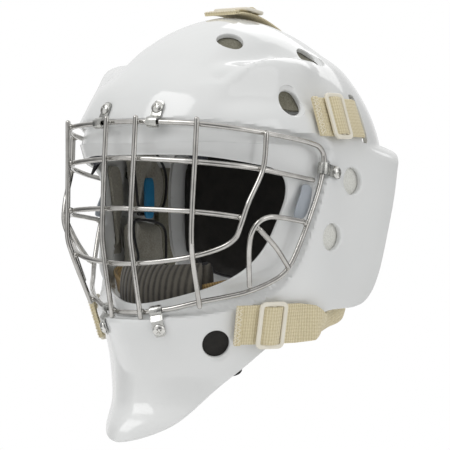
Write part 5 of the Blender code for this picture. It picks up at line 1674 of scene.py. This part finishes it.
# ---------------------------------------------------------------- harness
@dataclass
class Harness:
    """Elastic straps with their slides, hems and stitching."""

    shell: Shell
    back: BackPlate
    repeater: Repeater
    width: float = 31.5
    thickness: float = 1.8
    lift: float = 2.2
    lower_extra: float = 1.4
    upper_z: float = 70.5
    lower_z: float = -86.0
    slot_y: float = 63.5
    slide_width: float = 37.5
    slide_length: float = 24.0
    slide_thickness: float = 2.6
    slide_bar: float = 3.6
    slide_lift: float = 0.8
    slide_corner: float = 5.0
    hem_length: float = 5.5
    rivet_hole: float = 2.35
    upper_slide_y: float = 22.0
    lower_slide_y: float = -34.0
    top_slide_y: float = 34.0
    lower_tuck: tuple[tuple[Point, Point, float], ...] = (
        ((101.8, -1.0, -87.0), (1.0, 0.0, 0.0), 13.5), ((101.6, 8.0, -87.5), (1.0, 0.1, -0.15), 8.5),
        ((96.5, 16.5, -90.0), (0.85, 0.3, -0.4), 7.0), ((88.5, 27.0, -89.5), (0.85, 0.4, -0.3), 7.5),
        ((83.5, 43.0, -85.0), (0.9, 0.45, -0.1), 9.0), ((82.0, 62.0, -78.5), (0.9, 0.5, 0.0), 11.0))

    def on_skin(self, theta: float, z: float, lift: float) -> tuple[np.ndarray, np.ndarray]:
        """Point and normal `lift` millimetres off the shell."""
        normal = self.shell.base_normal(theta, z)
        return self.shell.skin(theta, z) + normal * lift, normal

    def route(self, key: str) -> tuple[list[np.ndarray], list[np.ndarray], list[float]]:
        """Points, outward directions and half widths of a strap on the left side.

        Args:
            key: "upper", "lower" or "top".

        Returns:
            The three lists, one entry for each route point.
        """
        half, lift = self.width / 2, self.lift + self.thickness / 2
        rows: list[tuple[np.ndarray, np.ndarray, float]] = []
        if key == "upper":
            rows += [(*self.on_skin(self.shell.angle_at(y, self.upper_z), self.upper_z, lift), half)
                     for y in np.linspace(-2.5, 52.0, 9)]
            rows += [(*self.on_skin(self.shell.angle_at(y, self.upper_z), self.upper_z, -under), half - less)
                     for y, under, less in ((58.0, -1.9, 0.5), (self.slot_y - 0.5, self.shell.wall / 2, 1.0),
                                            (67.0, 6.5, 2.0), (75.0, 11.5, 3.0))]
            rows += [(*self.back.point(math.radians(turn), z, -lift), half - 4.0)
                     for turn, z in ((58.0, 56.0), (49.0, 50.0), (41.0, 47.0))]
        elif key == "lower":
            rows += [(*self.on_skin(self.shell.angle_at(y, self.lower_z), self.lower_z, lift + self.lower_extra), half)
                     for y in np.linspace(-58.5, -12.0, 8)]
            rows += [(np.array(p), unit(way), wide) for p, way, wide in self.lower_tuck]
            rows += [(*self.back.point(math.radians(turn), z, -lift), half - 4.0)
                     for turn, z in ((52.0, -52.0), (43.0, -46.0))]
        else:
            rows += [(*self.on_skin(*self.shell.dome_at(0.0, y), lift), half) for y in np.linspace(9.5, 118.0, 12)]
            rows.append((np.array([0.0, 144.5, 84.0]), unit((0.0, 1.0, 0.35)), half))
            rows += [(*self.back.point(0.0, z, -lift), half) for z in (60.0, 46.0)]
        return [r[0] for r in rows], [r[1] for r in rows], [r[2] for r in rows]

    def fine_route(self, key: str, side: Side, steps: int = 10) -> tuple[np.ndarray, ...]:
        """Smooth points, directions, half widths and run lengths of a strap."""
        path, outs, halves = self.route(key)
        points = spline(path, steps) * side.flip
        place, knots = np.linspace(0, len(path) - 1, len(points)), np.arange(len(path))
        ways = np.array(outs)
        normals = np.array([unit([np.interp(t, knots, ways[:, k]) for k in range(3)]) for t in place]) * side.flip
        wide = np.interp(place, knots, halves)
        run = run_lengths(points)
        return points, normals, wide, run

    def tape(self, name: str, points: np.ndarray, normals: np.ndarray, wide: np.ndarray, run: np.ndarray,
             thickness: float, finish: Finish = STRAP_WEB) -> bpy.types.Object:
        """Make webbing along a route, its UV map in millimetres of tape."""
        profiles = [rounded_strip(h, thickness) for h in wide]
        verts, faces = sweep(points, profiles, list(normals))
        ring = len(profiles[0])
        uvs = np.array([(run[i], profiles[i][k][0]) for i in range(len(points)) for k in range(ring)])
        return make_mesh(name, verts, faces, finish, uvs=uvs, sharp=70.0)

    def stitches(self, name: str, rows: list[tuple[np.ndarray, np.ndarray, np.ndarray]], body: Body | str,
                 zigzag: float = 0.0, pitch: float = 2.4) -> bpy.types.Object:
        """Sew rows of thread.

        Args:
            name: The piece's name.
            rows: Start, end and outward normal of each row.
            body: Body that the thread rides on.
            zigzag: Half height of a zigzag, or 0 for a straight row.
            pitch: Length of a stitch in millimetres.

        Returns:
            One object with every stitch.
        """
        places = []
        for start, end, normal in rows:
            length = np.linalg.norm(end - start)
            along, count = (end - start) / length, max(int(length / pitch), 2)
            across = np.cross(normal, along)
            for k in range(count):
                sway = zigzag * (1 if k % 2 else -1)
                a = start + along * length * k / count - across * sway
                b = start + along * length * (k + 0.86) / count + across * sway
                places.append(((a + b) / 2, facing(normal, b - a), (np.linalg.norm(b - a) / 2.0, 1.0, 1.0)))
        bead = [(0.05, -1.05), (0.28, -0.8), (0.34, 0.0), (0.28, 0.8), (0.05, 1.05)]
        template = make_mesh("stitch_template", *lathe(bead, (0, 0, 0), (1, 0, 0), 6), None)
        sewn = self.repeater.spread(name, template, places, STITCH_YARN, seed=11, spread=0.06)
        return dress(sewn, body, "webbing")

    def hem(self, key: str, tag: str, points: np.ndarray, normals: np.ndarray, wide: np.ndarray,
            run: np.ndarray) -> None:
        """Fold a strap's free end back on itself and sew it down.

        Args:
            key: "upper", "lower" or "top".
            tag: Ending of the pieces' names.
            points: Centre line of the strap.
            normals: Outward direction at each point.
            wide: Half width at each point.
            run: Length along the strap to each point.
        """
        end = int(np.searchsorted(run, self.hem_length))
        rise = (self.thickness + 1.5) / 2
        ease = np.clip(np.minimum(run[:end], run[end - 1] - run[:end]) / 1.5, 0.0, 1.0)[:, None]
        spots = points[:end] + normals[:end] * (rise - 0.25 * (1 - ease))
        flap = self.tape("%s_strap_hem%s" % (key, tag), spots, normals[:end], wide[:end] + 0.3, run[:end], 1.6)
        dress(flap, Body.SHELL, "webbing")
        k = int(end * 0.5)
        across = np.cross(unit(points[k + 1] - points[k - 1]), normals[k])
        lift = normals[k] * (rise + 0.95)
        rows = [(points[k] + lift - across * (wide[k] - 2.0), points[k] + lift + across * (wide[k] - 2.0), normals[k])]
        self.stitches("%s_strap_hem_stitching%s" % (key, tag), rows, Body.SHELL, zigzag=1.6, pitch=2.0)
        lip = points[0] + normals[0] * rise
        across = np.cross(unit(points[1] - points[0]), normals[0])
        rows = [(lip + normals[0] * 0.6 - across * (wide[0] - 0.5), lip + normals[0] * 0.6 + across * (wide[0] - 0.5),
                 unit(normals[0] + unit(points[0] - points[1])))]
        self.stitches("%s_strap_whipped_end%s" % (key, tag), rows, Body.SHELL, zigzag=0.9, pitch=1.2)

    def slide(self, key: str, side: Side, tag: str) -> None:
        """Make a three-bar slide and the webbing that passes over its middle bar."""
        lift = self.lift + self.thickness + self.slide_lift + self.slide_thickness / 2
        if key == "top":
            spot, normal = self.on_skin(*self.shell.dome_at(0.0, self.top_slide_y), lift)
            along = unit(np.array([0.0, 1.0, 0.0]) - normal * normal[1])
            across = np.cross(along, normal)
        else:
            y, z, extra = {"upper": (self.upper_slide_y, self.upper_z, 0.0),
                           "lower": (self.lower_slide_y, self.lower_z, self.lower_extra)}[key]
            spot, normal = self.on_skin(self.shell.angle_at(y, z), z, lift + extra)
            spot, normal = spot * side.flip, normal * side.flip
            up = np.array([0.0, 0.0, 1.0])
            across = unit(up - normal * normal[2])
            along = np.cross(normal, across)
        half_l, half_w, half_t = self.slide_length / 2, self.slide_width / 2, self.slide_thickness / 2
        bar = self.slide_bar
        reach_l, reach_w, radius = half_l - bar / 2, half_w - bar / 2, self.slide_corner - bar / 2
        loop = []
        for k in range(40):
            turn = 2 * math.pi * (k + 0.5) / 40
            a = math.copysign(reach_l - radius, math.cos(turn)) + radius * math.cos(turn)
            b = math.copysign(reach_w - radius, math.sin(turn)) + radius * math.sin(turn)
            loop.append(spot + along * a + across * b)
        section = [(bar / 2 * math.copysign(abs(math.cos(t)) ** 0.55, math.cos(t)),
                    half_t * math.copysign(abs(math.sin(t)) ** 0.55, math.sin(t)))
                   for t in (2 * math.pi * (k + 0.5) / 16 for k in range(16))]
        frame = make_mesh("%s_three_bar_slide%s" % (key, tag),
                          *sweep(np.array(loop), [section] * 40, [normal] * 40, True), SLIDE_NYLON)
        inside = half_w - bar * 0.6
        middle = np.array([spot + across * b for b in np.linspace(-inside, inside, 8)])
        beam = make_mesh("slide_beam", *sweep(middle, [section] * 8, [normal] * 8), SLIDE_NYLON)
        boolean(frame, beam, "UNION")
        node = "%s_slide%s" % (key, tag)
        dress(frame, node, "nylon", node)
        over = half_t + 1.0
        profile = [(-half_l + bar + 0.7, -half_t - 0.3), (-half_l + bar + 1.3, 0.0), (-bar / 2 - 1.6, over - 0.5),
                   (-bar / 2, over), (0.0, over + 0.15), (bar / 2, over), (bar / 2 + 1.6, over - 0.5),
                   (half_l - bar - 1.3, 0.0), (half_l - bar - 0.7, -half_t - 0.3)]
        path = spline([spot + along * a + normal * b for a, b in profile], 6)
        run = run_lengths(path)
        ways = []
        for k in range(len(path)):
            tangent = unit(path[min(k + 1, len(path) - 1)] - path[max(k - 1, 0)])
            way = np.cross(across, tangent)
            ways.append(unit(way) * math.copysign(1.0, float(way @ normal)))
        wrap = self.tape("%s_strap_over_slide%s" % (key, tag), path, np.array(ways),
                         np.full(len(path), self.width / 2 - 0.6), run, 1.5)
        dress(wrap, node, "webbing")

    def build(self) -> list[tuple[str, np.ndarray, np.ndarray]]:
        """Make every strap.

        Returns:
            Name, point and outward normal of each strap's rivet, for the back plate.
        """
        anchors = []
        for key in ("upper", "lower", "top"):
            for side in ((Side.LEFT,) if key == "top" else tuple(Side)):
                tag = "" if key == "top" else "_" + side.word
                points, normals, wide, run = self.fine_route(key, side)
                strap = self.tape("%s_webbing%s" % (key, tag), points, normals, wide, run, self.thickness)
                coarse = spline(self.route(key)[0], 2) * side.flip
                ways = self.fine_route(key, side, 2)[1]
                spot, normal = coarse[-2], ways[-2]
                boolean(strap, make_mesh("eye", *lathe([(self.rivet_hole, -5.0), (self.rivet_hole, 5.0)], spot, normal, 16), None),
                        "DIFFERENCE")
                refinish(strap, STRAP_WEB)
                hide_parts("%s_strap%s" % (key, tag))
                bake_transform(strap)
                LOG.info("%s: %d faces, blended", strap.name, len(strap.data.polygons))
                anchors.append((key + tag, spot, normal))
                self.hem(key, tag, points, normals, wide, run)
                self.slide(key, side, tag)
        return anchors


# ---------------------------------------------------------------- chin cup
@dataclass
class ChinCup:
    """Ribbed chin cup on its sling, between two snaps."""

    centre: tuple[float, float, float] = (0.0, -56.0, -60.0)
    half_width: float = 44.0
    reach: float = 26.0
    height: float = 24.0
    wall: float = 6.0
    turn: float = 78.0
    lean: float = 62.0
    pivot: tuple[float, float, float] = (72.0, -30.0, -52.0)
    sling: tuple[Point, ...] = ((70.5, -24.0, -49.5), (70.5, -30.0, -52.0), (68.9, -37.0, -55.0),
                                (61.5, -45.5, -58.5), (50.0, -54.5, -61.5), (38.5, -63.5, -64.5),
                                (22.0, -73.0, -68.0), (0.0, -76.5, -69.5))

    def point(self, turn: float, lean: float, inset: float) -> np.ndarray:
        """Point of the cup `inset` millimetres in from its outer face."""
        reach = self.reach - inset
        return np.array(self.centre) + np.array([
            (self.half_width - inset) * math.sin(turn),
            8.0 - reach * math.cos(turn) * math.cos(lean * 0.8),
            (self.height - inset * 0.4) * math.sin(lean) - 6.0 * math.cos(turn)])

    def layer(self, inset: float, rows: int, columns: int, share: float = 1.0) -> np.ndarray:
        """Grid of the cup's points at one depth, over a share of its width."""
        return np.array([self.point(u * math.radians(self.turn) * share * (1 - 0.12 * abs(v) ** 3),
                                    v * math.radians(self.lean), inset)
                         for v in np.linspace(-1, 1, rows) for u in np.linspace(-1, 1, columns)])

    def build(self, harness: Harness) -> None:
        """Make the cup, its binding, the sling and the snaps."""
        rows, columns = 26, 44
        outer, inner = self.layer(0.4, rows, columns), self.layer(self.wall - 0.3, rows, columns)
        cup = make_mesh("ribbed_chin_cup", *join_layers(outer, inner, grid_faces(rows, columns), bulge=1.0), CUP_RIB)
        dress(cup, Body.CHIN, "sling", "chin_cup")
        cover = make_mesh("chin_cup_cover", *join_layers(self.layer(-5.6, rows, columns, 0.72),
                                                         self.layer(-3.8, rows, columns, 0.72),
                                                         grid_faces(rows, columns), bulge=0.5), CUP_RIB)
        dress(cover, Body.CHIN, "sling")
        middle = self.layer(self.wall / 2, rows, columns).reshape(rows, columns, 3)
        ring = np.vstack([middle[0, 1:-1], middle[1:-1, -1], middle[-1, -2:0:-1], middle[-2:0:-1, 0]])
        binding = make_mesh("chin_cup_binding", *tube(spline(ring[::2], 2, closed=True), 2.3, 10, True), PIPING_BLACK)
        dress(binding, Body.CHIN, "sling")
        route = list(self.sling) + [mirrored(p) for p in reversed(self.sling[:-1])]
        points = spline(route, 8)
        knots = np.arange(len(route))
        ways = np.array([unit((p[0], min(0.0, (p[1] + 37.5) * 1.4), -0.001)) for p in route])
        place = np.linspace(0, len(route) - 1, len(points))
        normals = np.array([unit([np.interp(t, knots, ways[:, k]) for k in range(3)]) for t in place])
        run = run_lengths(points)
        # The sling's webbing is cream elastic drawn dark: painted shadow
        tape = harness.tape("chin_sling", points, normals, np.full(len(points), 7.0), run, 1.6, CHIN_SLING_PAINTED_SHADOW_WEB)
        dress(tape, Body.CHIN, "sling", "chin_strap")
        parts = []
        for side in Side:
            spot = np.array(self.pivot) * side.flip
            button = [(0.4, 3.6), (2.2, 3.6), (2.4, 3.3), (5.0, 3.0), (6.1, 2.1), (6.5, 1.2), (6.5, 0.3), (6.2, 0.0),
                      (4.6, 0.0), (4.2, 0.35), (2.0, 0.35), (1.6, 0.0), (0.4, 0.0)]
            parts.append(lathe(button, spot, (side.value, 0.0, 0.0), 28))
        snaps = make_mesh("chin_snaps", *merged(parts), SNAP_NICKEL)
        dress(snaps, Body.SHELL, "zinc", "chin_snap_left", "chin_snap_right")


# ---------------------------------------------------------------- studio
@dataclass
class Studio:
    """Pale floor, soft lights and the camera, all in millimetres and degrees."""

    azimuth: float = 38.0
    elevation: float = 1.0
    distance: float = 1600.0
    lens: float = 160.0
    target_right: float = 10.0
    target_up: float = -13.0
    floor_level: float = -300.0
    floor_radius: float = 740.0

    def build_camera(self) -> None:
        """Make the camera and hand it to the scene."""
        a, e = math.radians(self.azimuth), math.radians(self.elevation)
        back = np.array([math.sin(a) * math.cos(e), -math.cos(a) * math.cos(e), math.sin(e)])
        right = np.array([math.cos(a), math.sin(a), 0.0])
        data = bpy.data.cameras.new("studio_camera")
        data.lens = self.lens
        data.sensor_width = 36.0
        data.clip_end = 20.0
        camera = bpy.data.objects.new("studio_camera", data)
        target = right * self.target_right + np.array([0.0, 0.0, self.target_up])
        camera.location = Vector((target + back * self.distance) * MM)
        camera.rotation_euler = Vector(back).to_track_quat("Z", "Y").to_euler()
        bpy.context.scene.collection.objects.link(camera)
        bpy.context.scene.camera = camera

    def add_light(self, name: str, azimuth: float, elevation: float, distance: float, size: Point,
                  power: float) -> None:
        """Add a soft box that faces the mask.

        Args:
            name: Name of the light.
            azimuth: Direction round the mask in degrees; 0 is in front of the face.
            elevation: Height above the horizon in degrees.
            distance: Distance from the mask in metres.
            size: Width and height in metres.
            power: Watts.
        """
        data = bpy.data.lights.new(name, "AREA")
        data.shape = "RECTANGLE"
        data.size, data.size_y = size
        data.energy = power
        light = bpy.data.objects.new(name, data)
        a, e = math.radians(azimuth), math.radians(elevation)
        back = Vector((math.sin(a) * math.cos(e), -math.cos(a) * math.cos(e), math.sin(e)))
        light.location = back * distance
        light.rotation_euler = back.to_track_quat("Z", "Y").to_euler()
        bpy.context.scene.collection.objects.link(light)

    def build(self) -> None:
        """Make the floor, the surroundings, the lights and the camera."""
        rim = [(self.floor_radius * math.cos(a), self.floor_radius * math.sin(a), self.floor_level)
               for a in np.linspace(0, 2 * math.pi, 97)[:-1]]
        mesh = bpy.data.meshes.new("studio_floor")
        mesh.from_pydata((np.array(rim) * MM).tolist(), [], [tuple(range(96))])
        floor = bpy.data.objects.new("studio_floor", mesh)
        floor.data.materials.append(FLOOR_WHITE.material())
        bpy.context.scene.collection.objects.link(floor)
        world = bpy.data.worlds.new("studio_surroundings")
        bpy.context.scene.world = world
        world.use_nodes = True
        tree = world.node_tree
        shade = tree.nodes["Background"]
        shade.inputs["Strength"].default_value = 1.0
        # What the pieces reflect: a pale room with darker flats between its soft boxes
        where = add_node(tree, "ShaderNodeTexCoord")
        split = add_node(tree, "ShaderNodeSeparateXYZ", {}, {0: where.outputs["Generated"]})
        turn = add_node(tree, "ShaderNodeMath", {}, {0: split.outputs[1], 1: split.outputs[0]}, operation="ARCTAN2")
        folds = add_node(tree, "ShaderNodeMath", {1: 3.0, 2: 0.9}, {0: turn.outputs[0]}, operation="MULTIPLY_ADD")
        wave = add_node(tree, "ShaderNodeMath", {}, {0: folds.outputs[0]}, operation="SINE")
        shades = {"From Min": -0.9, "From Max": 0.4, "To Min": 0.2, "To Max": 0.84}
        level = add_node(tree, "ShaderNodeMapRange", shades, {"Value": wave.outputs[0]})
        sky = add_node(tree, "ShaderNodeMapRange", {"From Min": 0.2, "From Max": 0.9, "To Min": 0.0, "To Max": 1.0},
                       {"Value": split.outputs[2]})
        room = add_node(tree, "ShaderNodeMix", {"B": 0.92}, {"Factor": sky.outputs[0], "A": level.outputs[0]})
        path = add_node(tree, "ShaderNodeLightPath")
        seen = add_node(tree, "ShaderNodeMix", {"B": 1.0},
                        {"Factor": path.outputs["Is Camera Ray"], "A": room.outputs[0]})
        tree.links.new(seen.outputs[0], shade.inputs["Color"])
        self.add_light("key_box", -18.0, 48.0, 1.6, (1.0, 0.8), 6.0)
        self.add_light("near_side_box", 96.0, 22.0, 1.7, (0.9, 1.1), 2.5)
        self.add_light("rear_box", 190.0, 40.0, 1.8, (1.2, 0.8), 3.0)
        bpy.context.scene.view_settings.view_transform = "Standard"
        self.build_camera()


def main() -> None:
    """Build every sub-assembly round the frame."""
    logging.basicConfig(level=logging.INFO, format="%(message)s")
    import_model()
    repeater = Repeater()
    shell = Shell()
    cage = Cage(shell, repeater)
    screws = [(spot, normal) for _, spot, normal, *_ in cage.clip_places()]
    Studio().build()
    shell.build(screws)
    cage.build()
    back = BackPlate(repeater)
    harness = Harness(shell, back, repeater)
    back.build(harness.build())
    ChinCup().build(harness)
    Liner(shell, repeater).build()


if __name__ == "__main__":
    main()
